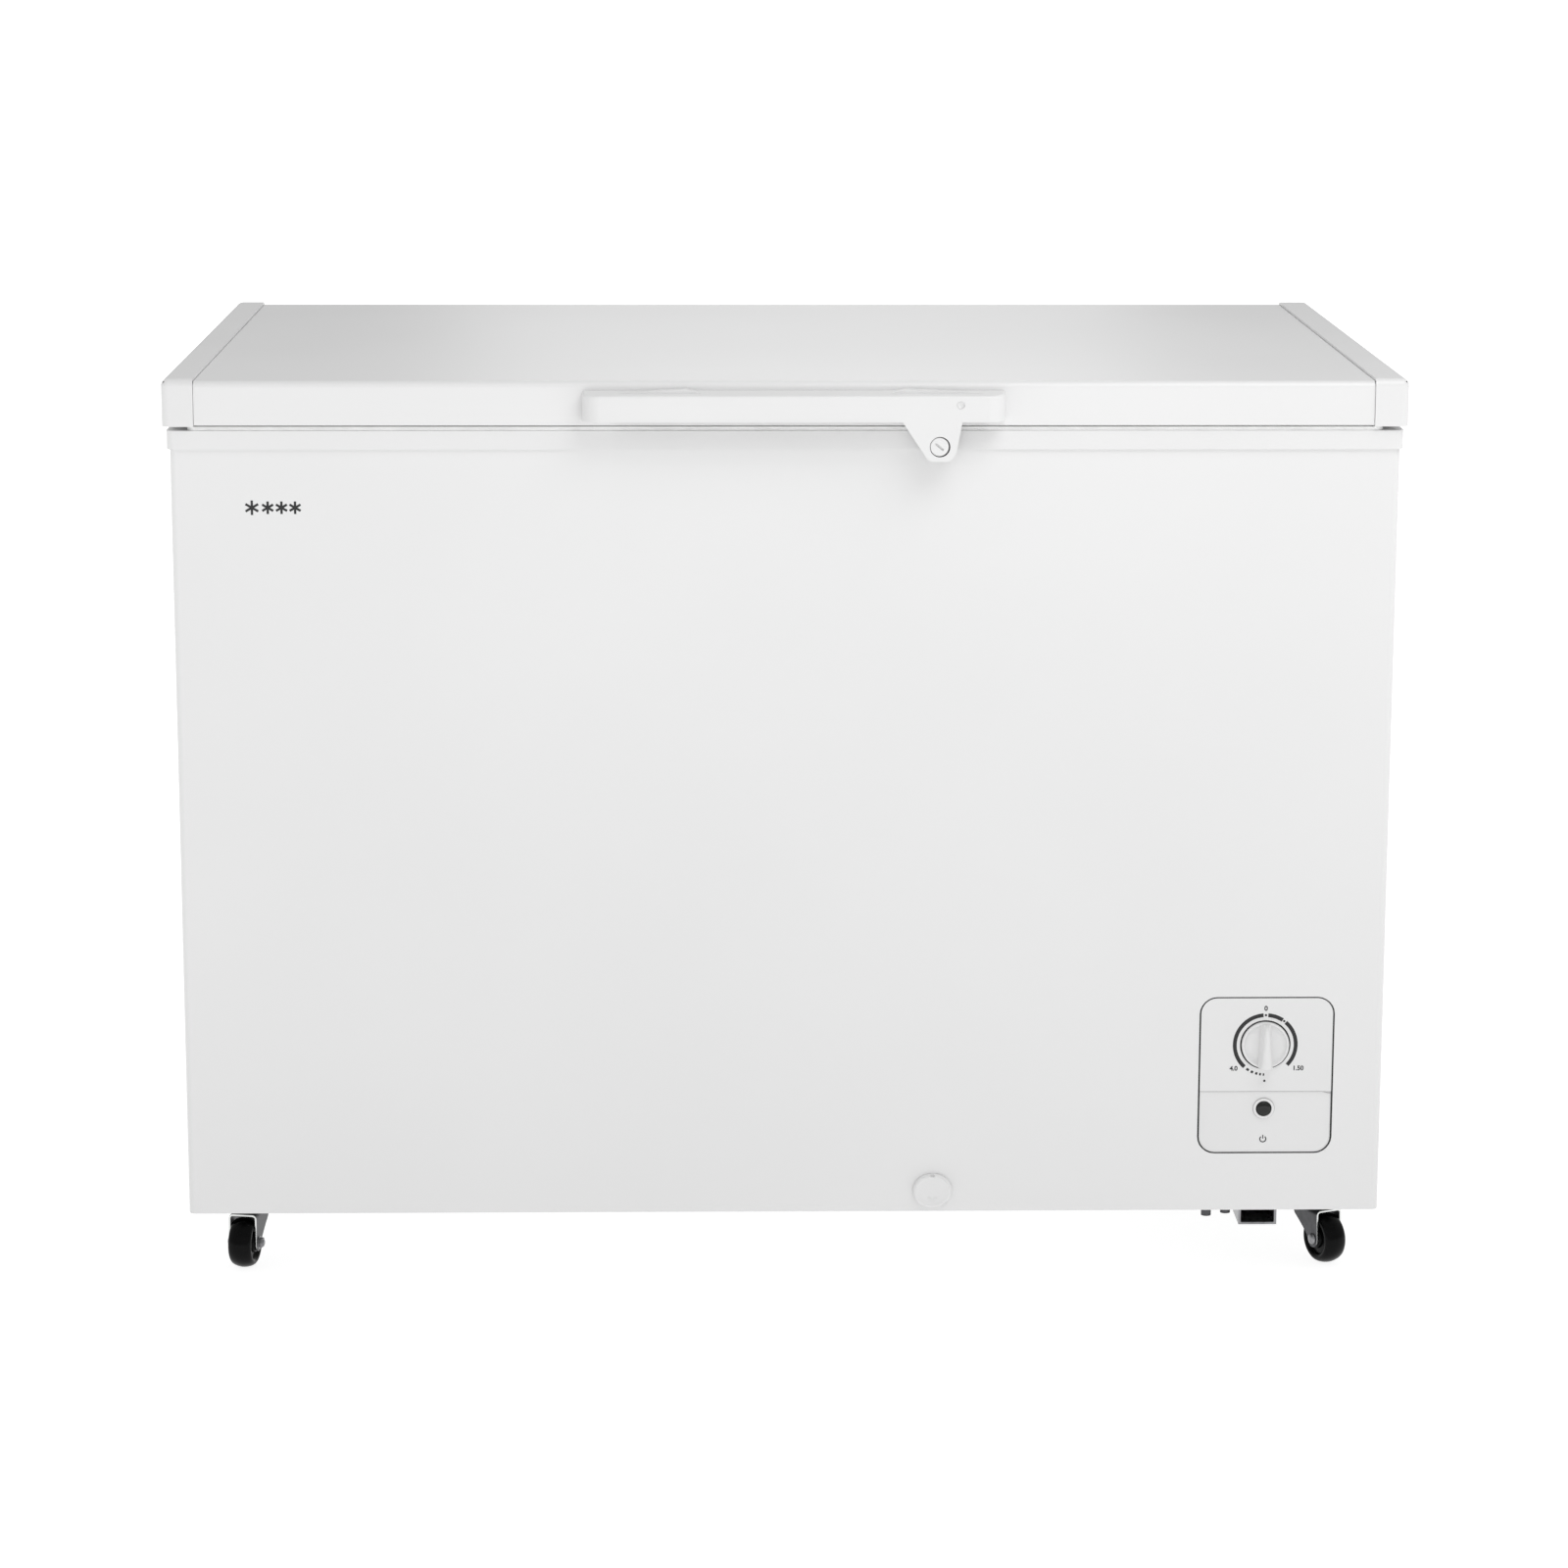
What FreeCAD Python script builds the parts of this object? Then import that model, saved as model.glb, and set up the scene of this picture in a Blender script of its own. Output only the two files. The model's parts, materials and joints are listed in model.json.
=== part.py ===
"""Chest freezer: a parametric FreeCAD document, one object per physical piece.

Millimetres. +X is to the right seen from the front, -Y is the front, +Z is up. The origin is on the
floor under the middle of the whole freezer. Every size is in the spreadsheet "Dims" and is bound to
the pieces with expressions. A piece's Label is the name of the STEP file that it is written to.
"""
import FreeCAD, Part
import math
import os
import re

import Sketcher

V = FreeCAD.Vector

SIZES = {
    # lid
    "lid_half": 560, "lid_front": -340, "lid_back": 350, "lid_bottom": 807, "lid_top": 850,
    "cap_width": 31, "cap_wall": 2.5, "cap_round": 7, "panel_drop": 2.4, "panel_inset": 1.5,
    "sheet": 0.8, "lid_liner_wall": 2, "lid_flange_low": 808, "plug_half": 470,
    "plug_front": -250, "plug_back": 255, "plug_bottom": 782, "seal_half": 538,
    "seal_front": -333.5, "seal_back": 320, "seal_width": 22, "seal_bottom": 803.3,
    # cabinet
    "shell_half": 554, "shell_front": -334, "shell_back": 336, "shell_bottom": 71,
    "shell_top": 800, "shell_round": 6, "frame_half": 556.5, "frame_front": -336.3,
    "frame_back": 338.5, "frame_top": 803, "frame_bottom": 786, "frame_wall": 2.3,
    "well_half": 505.5, "well_front": -287.5, "well_back": 289.5, "ledge_top": 790,
    "ledge_width": 13, "lip_bottom": 775, "liner_half": 495, "liner_front": -275,
    "liner_back": 277, "liner_floor": 130, "liner_top": 787, "step_left": 245,
    "step_floor": 390, "coil_gap": 10, "skin_gap": 8, "foam_top": 785,
    "bay_left": 296, "bay_roof": 336, "corner_inset": 2.6, "tank_round": 24,
    "evaporator_tube": 4, "condenser_tube": 3, "vent_half": 150, "vent_low": 112,
    "vent_high": 288,
    # compressor bay
    "compressor_x": 425, "compressor_y": 150, "compressor_radius": 74,
    "compressor_low": 97, "compressor_height": 150, "foot_low": 92, "foot_thick": 3,
    "foot_half": 88, "foot_hole_x": 74, "foot_hole_y": 60, "grommet_radius": 11,
    "tray_thick": 1.5, "stud_radius": 4.7, "gland_inset": 40, "gland_z": 102,
    "gland_radius": 8, "gland_bore": 4,
    "rail_left": 428, "rail_width": 36, "rail_bottom": 46, "rail_wall": 2.5,
    "rail_front": -300, "rail_back": 300, "bolt_radius": 4,
    # controls
    "panel_left": 385, "panel_width": 122.2, "panel_bottom": 127, "panel_height": 148,
    "panel_round": 15, "panel_gap": 1, "dial_x": 444.9, "dial_z": 230.5,
    "knob_radius": 21.9, "dial_recess": 23.4, "lamp_z": 169.2, "lamp_radius": 7.3,
    "lamp_ring": 9.7, "spindle": 3,
    # drain
    "drain_x": 137.3, "drain_z": 91.5, "drain_floor_y": -225, "drain_disc": 18.5,
    "drain_bore": 7.5, "drain_outer": 10,
    # handle and lock
    "handle_left": -183.4, "handle_right": 195.9, "handle_bottom": 813.4,
    "handle_top": 839.7, "handle_slope": 2.7, "handle_front": -361, "handle_wall": 4.5,
    "pad_rise": 2, "lock_x": 136.7, "lock_z": 791.3, "lock_radius": 9.1, "tab_back": -346,
    "tab_half_top": 28, "tab_half_low": 14.6, "screw_cap_z": 829, "strike_left": 5.3,
    "strike_width": 10,
    # hinges
    "hinge_x": 340, "pivot_y": 352, "pivot_z": 795, "ear_radius": 9, "pin_radius": 4,
    "ear_out": 20, "ear_in": 17.5, "housing_low": 690, "leaf_half": 17,
    "knuckle_radius": 6.5, "plunger_top": 782.9, "plunger_radius": 6, "spring_low": 702,
    "spring_high": 742,
    # basket
    "basket_left": 255, "basket_right": 485, "basket_front": -264, "basket_back": 266,
    "basket_low": 572, "basket_rim": 772, "basket_wall": 3,
    # casters
    "kingpin_x": 505, "kingpin_y": 250, "trail": 22, "wheel_radius": 24,
    "wheel_width": 20, "axle_radius": 4, "kingpin_radius": 4, "plate_low": 68.5,
    "boss_low": 62.3, "race_radius": 17, "race_low": 50, "leg_in": 11.2, "leg_out": 13.7,
    "eye_radius": 8.5,
    # fits
    "running_gap": 0.05, "clear_gap": 0.3,
}
CORNERS = {
    # caster name: (side of the cabinet, front or back, swivel at rest in degrees)
    "front_left": (-1, -1, -11), "front_right": (1, -1, 25),
    "rear_left": (-1, 1, 8), "rear_right": (1, 1, -15),
}

doc = FreeCAD.newDocument("chest_freezer")
sheet = doc.addObject("Spreadsheet::Sheet", "Dims")
for row, (alias, value) in enumerate(SIZES.items(), start=1):
    sheet.set(f"A{row}", alias)
    sheet.set(f"B{row}", str(value))
    sheet.setAlias(f"B{row}", alias)
doc.recompute()

sub_parts = []


def bound(text):
    """An expression in which each size's name refers to its cell in the sheet."""
    def cell(match):
        word = match.group(0)
        return "Dims." + word if word in SIZES else word
    return re.sub(r"[a-z_]+", cell, str(text))


def bind(item, **expressions):
    """Binds properties of an object to expressions; x, y and z are its position."""
    for name, text in expressions.items():
        path = "Placement.Base." + name if name in "xyz" else name
        item.setExpression(path, bound(text))


def piece(item, label):
    """Marks an object as a sub-part, written to the file that its Label names."""
    item.Label = label
    sub_parts.append(item)
    return item


def box(name, x, y, z):
    """A Part::Box from three (low, high) pairs of expressions."""
    item = doc.addObject("Part::Box", name)
    bind(item, x=x[0], y=y[0], z=z[0])
    for size, (low, high) in (("Length", x), ("Width", y), ("Height", z)):
        bind(item, **{size: f"({high}) - ({low})"})
    return item


def rod(name, radius, x, y, z, length, axis=(0, 0, 1)):
    """A Part::Cylinder that starts at (x, y, z) and runs along axis."""
    item = doc.addObject("Part::Cylinder", name)
    item.Placement = FreeCAD.Placement(V(), FreeCAD.Rotation(V(0, 0, 1), V(*axis)))
    bind(item, x=x, y=y, z=z, Radius=radius, Height=length)
    return item


def hexagon(name, radius, x, y, z, length, axis=(0, 0, 1)):
    """A Part::Prism: a hexagonal bolt head or nut."""
    item = doc.addObject("Part::Prism", name)
    item.Placement = FreeCAD.Placement(V(), FreeCAD.Rotation(V(0, 0, 1), V(*axis)))
    item.Polygon = 6
    bind(item, x=x, y=y, z=z, Circumradius=radius, Height=length)
    return item


def fuse(name, items):
    """The union of several objects as one solid."""
    item = doc.addObject("Part::MultiFuse", name)
    item.Shapes = items
    item.Refine = True
    return item


def cut(name, base, tools):
    """The base with every tool taken out of it."""
    item = doc.addObject("Part::Cut", name)
    item.Base = base
    item.Tool = tools[0] if len(tools) == 1 else fuse(name + "_tools", tools)
    item.Refine = True
    return item


def group(name, items):
    """Separate solids kept together, such as a set of identical screws."""
    item = doc.addObject("Part::Compound", name)
    item.Links = items
    return item


def rounded(name, base, radius, chosen):
    """A Part::Fillet on the edges of base that the function chosen accepts."""
    doc.recompute()
    edges = [i for i, e in enumerate(base.Shape.Edges, start=1) if chosen(e)]
    item = doc.addObject("Part::Fillet", name)
    item.Base = base
    item.Edges = [(i, radius, radius) for i in edges]
    return item


def along(edge, axis):
    """Whether a straight edge runs along the axis "x", "y" or "z"."""
    if edge.Curve.TypeId != "Part::GeomLine":
        return False
    return abs(getattr(edge.Curve.Direction, axis)) > 0.999


def ring(name, half, front, back, low, high, width):
    """A rectangular frame with its outer edge at half, front and back."""
    outer = box(name + "_outer", (f"-({half})", half), (front, back), (low, high))
    inner = box(name + "_inner", (f"-({half}) + {width}", f"{half} - {width}"),
                (f"{front} + {width}", f"{back} - {width}"), (f"{low} - 1", f"{high} + 1"))
    return cut(name, outer, [inner])


PLANES = {"XY": "XY_Plane", "XZ": "XZ_Plane", "YZ": "YZ_Plane"}


def profile(body, plane, points, offset="0"):
    """A closed sketch of straight lines through points, each point bound to the sheet."""
    sketch = body.newObject("Sketcher::SketchObject", body.Name + "_sketch")
    origin = [f for f in body.Origin.OriginFeatures if f.Role == PLANES[plane]]
    sketch.AttachmentSupport = [(origin[0], "")]
    sketch.MapMode = "FlatFace"
    sketch.setExpression("AttachmentOffset.Base.z", bound(offset))
    flat = [[evaluate(c) for c in point] for point in points]
    for i, (across, up) in enumerate(flat):
        end = flat[(i + 1) % len(flat)]
        sketch.addGeometry(Part.LineSegment(V(across, up, 0), V(end[0], end[1], 0)))
    for i in range(len(points)):
        sketch.addConstraint(Sketcher.Constraint("Coincident", i, 2, (i + 1) % len(points), 1))
    for i, point in enumerate(points):
        for kind, word, text, value in (("DistanceX", "across", point[0], flat[i][0]),
                                        ("DistanceY", "up", point[1], flat[i][1])):
            number = sketch.addConstraint(Sketcher.Constraint(kind, -1, 1, i, 1, value))
            sketch.renameConstraint(number, f"{word}_{i}")
            sketch.setExpression(f"Constraints.{word}_{i}", bound(text))
    return sketch


def evaluate(text):
    """The value of an expression of the sheet's names, as a number."""
    return float(sheet.evalExpression(bound(text).replace("Dims.", "")))


def padded(name, plane, points, low, high):
    """A PartDesign body: a straight-sided profile padded from low to high along its normal."""
    body = doc.addObject("PartDesign::Body", name)
    # the XZ plane's normal is -Y, so its pad starts at the high end
    start = f"-({high})" if plane == "XZ" else low
    sketch = profile(body, plane, points, start)
    pad = body.newObject("PartDesign::Pad", name + "_pad")
    pad.Profile = sketch
    pad.setExpression("Length", bound(f"({high}) - ({low})"))
    body.Tip = pad
    return body


def turned(name, points):
    """A PartDesign body: a profile (radius, height) revolved about the body's Z axis."""
    body = doc.addObject("PartDesign::Body", name)
    sketch = profile(body, "XZ", points)
    turn = body.newObject("PartDesign::Revolution", name + "_turn")
    turn.Profile = sketch
    turn.ReferenceAxis = (sketch, ["V_Axis"])
    turn.Angle = 360
    body.Tip = turn
    return body


def tube(name, runs, radius, bend, bore=0):
    """A Part::Feature: a round tube along straight runs joined by tangent arcs."""
    points = [V(*p) for p in runs]
    edges = []
    start = points[0]
    for before, corner, after in zip(points, points[1:], points[2:]):
        back = (before - corner).normalize()
        on = (after - corner).normalize()
        half_turn = (math.pi - back.getAngle(on)) / 2
        reach = bend * math.tan(half_turn)
        first = corner + back * reach
        last = corner + on * reach
        inward = (back + on).normalize()
        middle = corner + inward * (bend / math.cos(half_turn) - bend)
        edges.append(Part.LineSegment(start, first).toShape())
        edges.append(Part.Arc(first, middle, last).toShape())
        start = last
    edges.append(Part.LineSegment(start, points[-1]).toShape())
    path = Part.Wire(edges)
    heading = points[1] - points[0]

    def swept(size):
        section = Part.Wire(Part.makeCircle(size, points[0], heading))
        return path.makePipeShell([section], True, False)

    shape = swept(radius)
    if bore:
        shape = shape.cut(swept(bore))
    item = doc.addObject("Part::Feature", name)
    item.Shape = shape.Solids[0]
    item.Placement = FreeCAD.Placement()
    return item


S = SIZES


# ---------------------------------------------------------------- cabinet
def outer_shell():
    """Painted steel wrapper: the front and both sides, folded from one sheet."""
    def front_upright(edge):
        return along(edge, "z") and edge.CenterOfMass.y < 0
    outer = box("shell_block", ("-shell_half", "shell_half"), ("shell_front", "shell_back"),
                ("shell_bottom", "shell_top"))
    inner = box("shell_room", ("-shell_half + sheet", "shell_half - sheet"),
                ("shell_front + sheet", "shell_back + 1"), ("shell_bottom - 1", "shell_top + 1"))
    outer = rounded("shell_outside", outer, S["shell_round"], front_upright)
    inner = rounded("shell_inside", inner, S["shell_round"] - S["sheet"], front_upright)
    window = box("panel_window", ("panel_left - panel_gap", "panel_left + panel_width + panel_gap"),
                 ("shell_front - 2", "shell_front + 4"),
                 ("panel_bottom - panel_gap", "panel_bottom + panel_height + panel_gap"))
    window = rounded("panel_window_round", window, S["panel_round"] + S["panel_gap"],
                     lambda edge: along(edge, "y"))
    drain = rod("shell_drain_hole", "drain_outer + 1", "drain_x", "shell_front - 2", "drain_z", "5",
                (0, 1, 0))
    vent = box("shell_vent", ("shell_half - 4", "shell_half + 2"), ("-vent_half", "vent_half"),
               ("vent_low", "vent_high"))
    piece(cut("shell", outer, [inner, window, drain, vent]), "outer_shell")


def back_and_base():
    """Back sheet, and the base pan that is folded up round the compressor bay."""
    back = box("back_sheet", ("-shell_half + 1", "shell_half - 1"),
               ("shell_back - sheet", "shell_back"), ("shell_bottom + 1.2", "shell_top"))
    bay = box("back_bay", ("bay_left + 16", "shell_half - 12"), ("shell_back - 4", "shell_back + 4"),
              ("shell_bottom + 10", "bay_roof - 10"))
    piece(cut("back", back, [bay]), "back_panel")
    edge = "shell_half - corner_inset"
    points = [(f"-({edge})", "shell_bottom"), ("bay_left + 1", "shell_bottom"),
              ("bay_left + 1", "bay_roof"), (edge, "bay_roof"), (edge, "bay_roof + 1"),
              ("bay_left", "bay_roof + 1"), ("bay_left", "shell_bottom + 1"),
              (f"-({edge})", "shell_bottom + 1")]
    piece(padded("pan", "XZ", points, "shell_front + corner_inset", "shell_back - 1"), "base_pan")


def liner():
    """Coated aluminium tank: a deep well on the left and a step over the compressor bay."""
    def tank(name, grow, top):
        over = f"+ {grow}"
        upper = box(name + "_upper", (f"-(liner_half {over})", f"liner_half {over}"),
                    (f"liner_front - {grow}", f"liner_back {over}"), (f"step_floor - {grow}", top))
        deep = box(name + "_deep", (f"-(liner_half {over})", f"step_left {over}"),
                   (f"liner_front - {grow}", f"liner_back {over}"),
                   (f"liner_floor - {grow}", top))
        radius = S["tank_round"] if grow == "sheet" else S["tank_round"] - S["sheet"]
        solid = fuse(name + "_solid", [upper, deep])
        return solid if grow == "coil_gap" else rounded(name, solid, radius,
                                                        lambda edge: along(edge, "z"))
    drain = rod("liner_drain_hole", "drain_outer + 0.2", "drain_x", "drain_floor_y",
                "liner_floor - 5", "10")
    piece(cut("liner", tank("tank_out", "sheet", "liner_top"),
              [tank("tank_in", "0", "liner_top + 5"), drain]), "inner_liner")
    block = box("foam_block", ("-(shell_half - skin_gap)", "shell_half - skin_gap"),
                ("shell_front + skin_gap", "shell_back - 1.1"), ("shell_bottom + 1.3", "foam_top"))
    block = rounded("foam_corners", block, S["tank_round"] - 4,
                    lambda edge: along(edge, "z") and edge.CenterOfMass.y < 0)
    bay = box("foam_bay", ("bay_left - 0.3", "shell_half"), ("shell_front", "shell_back"),
              ("shell_bottom", "bay_roof + 1.3"))
    lying = box("foam_drain_low", ("drain_x - 11", "drain_x + 11"),
                ("shell_front", "drain_floor_y + 11"), ("drain_z - 11", "drain_z + 11"))
    rising = box("foam_drain_rise", ("drain_x - 11", "drain_x + 11"),
                 ("drain_floor_y - 16", "drain_floor_y + 11"), ("drain_z", "liner_floor"))
    piece(cut("foam", block, [tank("foam_pocket", "coil_gap", "foam_top + 5"), bay, lying, rising]),
          "cabinet_foam")


def top_frame():
    """Moulded rim round the mouth: outer skirt, top plate, basket ledge and inner lip."""
    skirt = box("rim_block", ("-frame_half", "frame_half"), ("frame_front", "frame_back"),
                ("frame_bottom", "frame_top"))
    skirt = rounded("rim_round", skirt, S["shell_round"] + 1, lambda edge: along(edge, "z"))
    under = box("rim_under", ("-frame_half + frame_wall", "frame_half - frame_wall"),
                ("frame_front + 2.1", "frame_back - 2.3"), ("frame_bottom - 1", "frame_top - 2.5"))
    rim = cut("rim", skirt, [under])
    well = box("well_block", ("-well_half - 2.5", "well_half + 2.5"),
               ("well_front - 2.5", "well_back + 2.5"), ("ledge_top - 2.5", "frame_top - 1"))
    lip = box("lip_block", ("-liner_half + 0.2", "liner_half - 0.2"),
              ("liner_front + 0.2", "liner_back - 0.2"), ("lip_bottom", "ledge_top - 1"))
    lip = rounded("lip_round", lip, S["tank_round"] - 1, lambda edge: along(edge, "z"))
    room = box("well_room", ("-well_half", "well_half"), ("well_front", "well_back"),
               ("ledge_top", "frame_top + 5"))
    mouth = box("mouth_room", ("-well_half + ledge_width", "well_half - ledge_width"),
                ("well_front + ledge_width", "well_back - ledge_width"),
                ("lip_bottom - 5", "frame_top + 5"))
    mouth = rounded("mouth_round", mouth, S["tank_round"] - 3.5, lambda edge: along(edge, "z"))
    piece(cut("mouth_frame", fuse("frame_solid", [rim, well, lip]), [room, mouth]), "top_frame")


def coils():
    """Evaporator tube wound round the liner, condenser tube inside the shell's three walls."""
    side = S["liner_half"] + S["sheet"] + S["evaporator_tube"] + 0.6
    front = S["liner_front"] - S["sheet"] - S["evaporator_tube"] - 0.6
    back = S["liner_back"] + S["sheet"] + S["evaporator_tube"] + 0.6
    step = S["step_left"] + S["sheet"] + S["evaporator_tube"] + 0.6
    lower = [(step, z) for z in (170, 240, 310)]
    upper = [(side, z) for z in (440, 530, 620, 710)]
    runs = [(0, back, lower[0][1])]
    for right, z in lower + upper:
        runs += [(right, back, z), (right, front, z), (-side, front, z), (-side, back, z)]
        runs += [(-side / 2, back, z)]
        follower = [h for _, h in lower + upper if h > z]
        if follower:
            runs += [(-side / 2 + 60, back, follower[0])]
    piece(tube("evaporator", runs, S["evaporator_tube"], 20), "evaporator_coil")
    side = S["shell_half"] - S["sheet"] - S["condenser_tube"] - 1
    front = S["shell_front"] + S["sheet"] + S["condenser_tube"] + 1
    back = S["shell_back"] - 30
    runs = []
    for number, z in enumerate((400, 480, 560, 640, 720)):
        turn = [(side, back, z), (side, front, z), (-side, front, z), (-side, back, z)]
        runs += turn if number % 2 == 0 else turn[::-1]
    piece(tube("condenser", runs, S["condenser_tube"], 18), "condenser_coil")


# ---------------------------------------------------------------- compressor bay
FEET = [(a, b) for a in (-1, 1) for b in (-1, 1)]


def compressor():
    """Hermetic compressor on rubber grommets, its terminal box, drier and copper tubes."""
    body = rod("pot", "compressor_radius", "compressor_x", "compressor_y", "compressor_low",
               "compressor_height")
    body = rounded("pot_round", body, 26, lambda edge: edge.Curve.TypeId == "Part::GeomCircle")
    seam = rod("pot_seam", "compressor_radius + 3", "compressor_x", "compressor_y",
               "compressor_low + compressor_height * 0.55", "4")
    foot = box("pot_foot", ("compressor_x - foot_half", "compressor_x + foot_half"),
               ("compressor_y - foot_half + 12", "compressor_y + foot_half - 12"),
               ("foot_low", "foot_low + foot_thick"))
    neck = rod("pot_neck", "compressor_radius - 30", "compressor_x", "compressor_y",
               "foot_low + 1", "20")
    holes, grommets, bolts = [], [], []
    for number, (a, b) in enumerate(FEET):
        x = f"compressor_x + foot_hole_x * {a}"
        y = f"compressor_y + foot_hole_y * {b}"
        holes.append(rod(f"foot_hole_{number}", "bolt_radius + 0.6", x, y, "foot_low - 1", "6"))
        low = "shell_bottom + tray_thick"
        soft = rod(f"grommet_{number}", "grommet_radius", x, y, low, f"foot_low - ({low})")
        hole = rod(f"grommet_hole_{number}", "bolt_radius + 0.2", x, y, f"{low} - 1", "40")
        grommets.append(cut(f"grommet_ring_{number}", soft, [hole]))
        shank = rod(f"bolt_shank_{number}", "bolt_radius", x, y, low,
                    f"foot_low + foot_thick - ({low})")
        head = hexagon(f"bolt_head_{number}", "bolt_radius * 1.9", x, y, "foot_low + foot_thick", "5")
        bolts.append(fuse(f"bolt_{number}", [shank, head]))
    piece(cut("compressor_pot", fuse("pot_solid", [body, seam, foot, neck]), holes), "compressor")
    piece(group("grommets", grommets), "compressor_grommets")
    piece(group("bolts", bolts), "compressor_bolts")
    cover = box("terminal_box", ("compressor_x - 32", "compressor_x + 32"),
                ("compressor_y - compressor_radius - 36", "compressor_y - compressor_radius - 3.3"),
                ("compressor_low + 24", "compressor_low + 94"))
    piece(rounded("terminal_round", cover, 4, lambda edge: along(edge, "y")), "terminal_cover")
    drier = rod("drier", "9.5", "bay_left + 34", "compressor_y + 110", "150", "105")
    piece(rounded("drier_round", drier, 8, lambda edge: edge.Curve.TypeId == "Part::GeomCircle"),
          "filter_drier")
    top = S["compressor_low"] + S["compressor_height"] - 40
    left = S["compressor_x"] - S["compressor_radius"] - 1
    y = S["compressor_y"]
    suction = tube("suction", [(left, y - 20, top), (left - 30, y - 20, top),
                               (left - 30, y - 20, S["bay_roof"] - 18),
                               (left - 30, y + 90, S["bay_roof"] - 18)], 4, 12)
    discharge = tube("discharge", [(left, y + 20, top - 60), (left - 26, y + 20, top - 60),
                                   (left - 26, y + 20, 120), (left - 26, y + 80, 120)], 3, 10)
    process = tube("process", [(left + 20, y - 62, top - 50), (left + 20, y - 90, top - 50),
                               (left - 15, y - 90, top - 50)], 3, 8)
    piece(group("copper", [suction, discharge, process]), "refrigerant_tubes")


def bay_metal():
    """Compressor tray, the rail under it and the stud ends beside the rail."""
    piece(box("tray", ("bay_left + 2", "shell_half - corner_inset"),
              ("shell_front + corner_inset", "shell_back - 1.5"),
              ("shell_bottom", "shell_bottom + tray_thick")), "compressor_tray")
    left, right = "rail_left", "rail_left + rail_width"
    points = [(left, "rail_bottom"), (right, "rail_bottom"), (right, "shell_bottom"),
              (f"{right} - rail_wall", "shell_bottom"),
              (f"{right} - rail_wall", "rail_bottom + rail_wall"),
              (f"{left} + rail_wall", "rail_bottom + rail_wall"),
              (f"{left} + rail_wall", "shell_bottom"), (left, "shell_bottom")]
    piece(padded("rail", "XZ", points, "rail_front", "rail_back"), "compressor_rail")
    studs = []
    for number, (x, low) in enumerate(((398, 54), (416, 56.5))):
        for end, y in enumerate(("rail_front + 6", "rail_back - 20")):
            studs.append(rod(f"stud_{number}_{end}", "stud_radius", str(x), y, str(low),
                             f"shell_bottom - {low}"))
    piece(group("studs", studs), "rail_studs")


def slotted(name, plate, spans, axis):
    """A cover plate with rows of slots; spans are (low, high) pairs across, rows go up."""
    tools = []
    for number, (low, high) in enumerate(spans):
        for row in range(9):
            z = f"128 + {row * 18}"
            ends = (z, z + " + 7")
            across = (str(low), str(high))
            x, y = ((across, ("shell_back - 4", "shell_back + 9")) if axis == "x"
                    else (("shell_half - 9", "shell_half + 4"), across))
            tools.append(box(f"{name}_slot_{number}_{row}", x, y, ends))
    return cut(name, plate, tools)


def covers():
    """Vent grille in the right side, rear cover of the bay, and the gland of the mains lead."""
    plate = box("grille_plate", ("shell_half - 3", "shell_half - sheet"),
                ("-vent_half + 1", "vent_half - 1"), ("vent_low + 1", "vent_high - 1"))
    piece(slotted("grille", plate, [(-138, -4), (4, 138)], "y"), "side_grille")
    plate = box("cover_plate", ("bay_left + 8", "shell_half - 5"),
                ("shell_back + 0.2", "shell_back + 2.2"), ("shell_bottom + 5", "bay_roof - 4"))
    gland_x = "shell_half - gland_inset"
    hole = rod("cover_gland_hole", "gland_radius + 0.2", gland_x, "shell_back - 3", "gland_z", "9",
               (0, 1, 0))
    piece(cut("cover", slotted("cover_slots", plate, [(318, 425), (435, 540)], "x"), [hole]),
          "rear_cover")
    stem = rod("gland_stem", "gland_radius", gland_x, "shell_back - 6", "gland_z", "14", (0, 1, 0))
    flange = rod("gland_flange", "gland_radius + 3.5", gland_x, "shell_back + 2.3", "gland_z",
                 "3.5", (0, 1, 0))
    bore = rod("gland_through", "gland_bore", gland_x, "shell_back - 9", "gland_z", "20", (0, 1, 0))
    piece(cut("gland", fuse("gland_solid", [stem, flange]), [bore]), "cord_gland")


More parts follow.
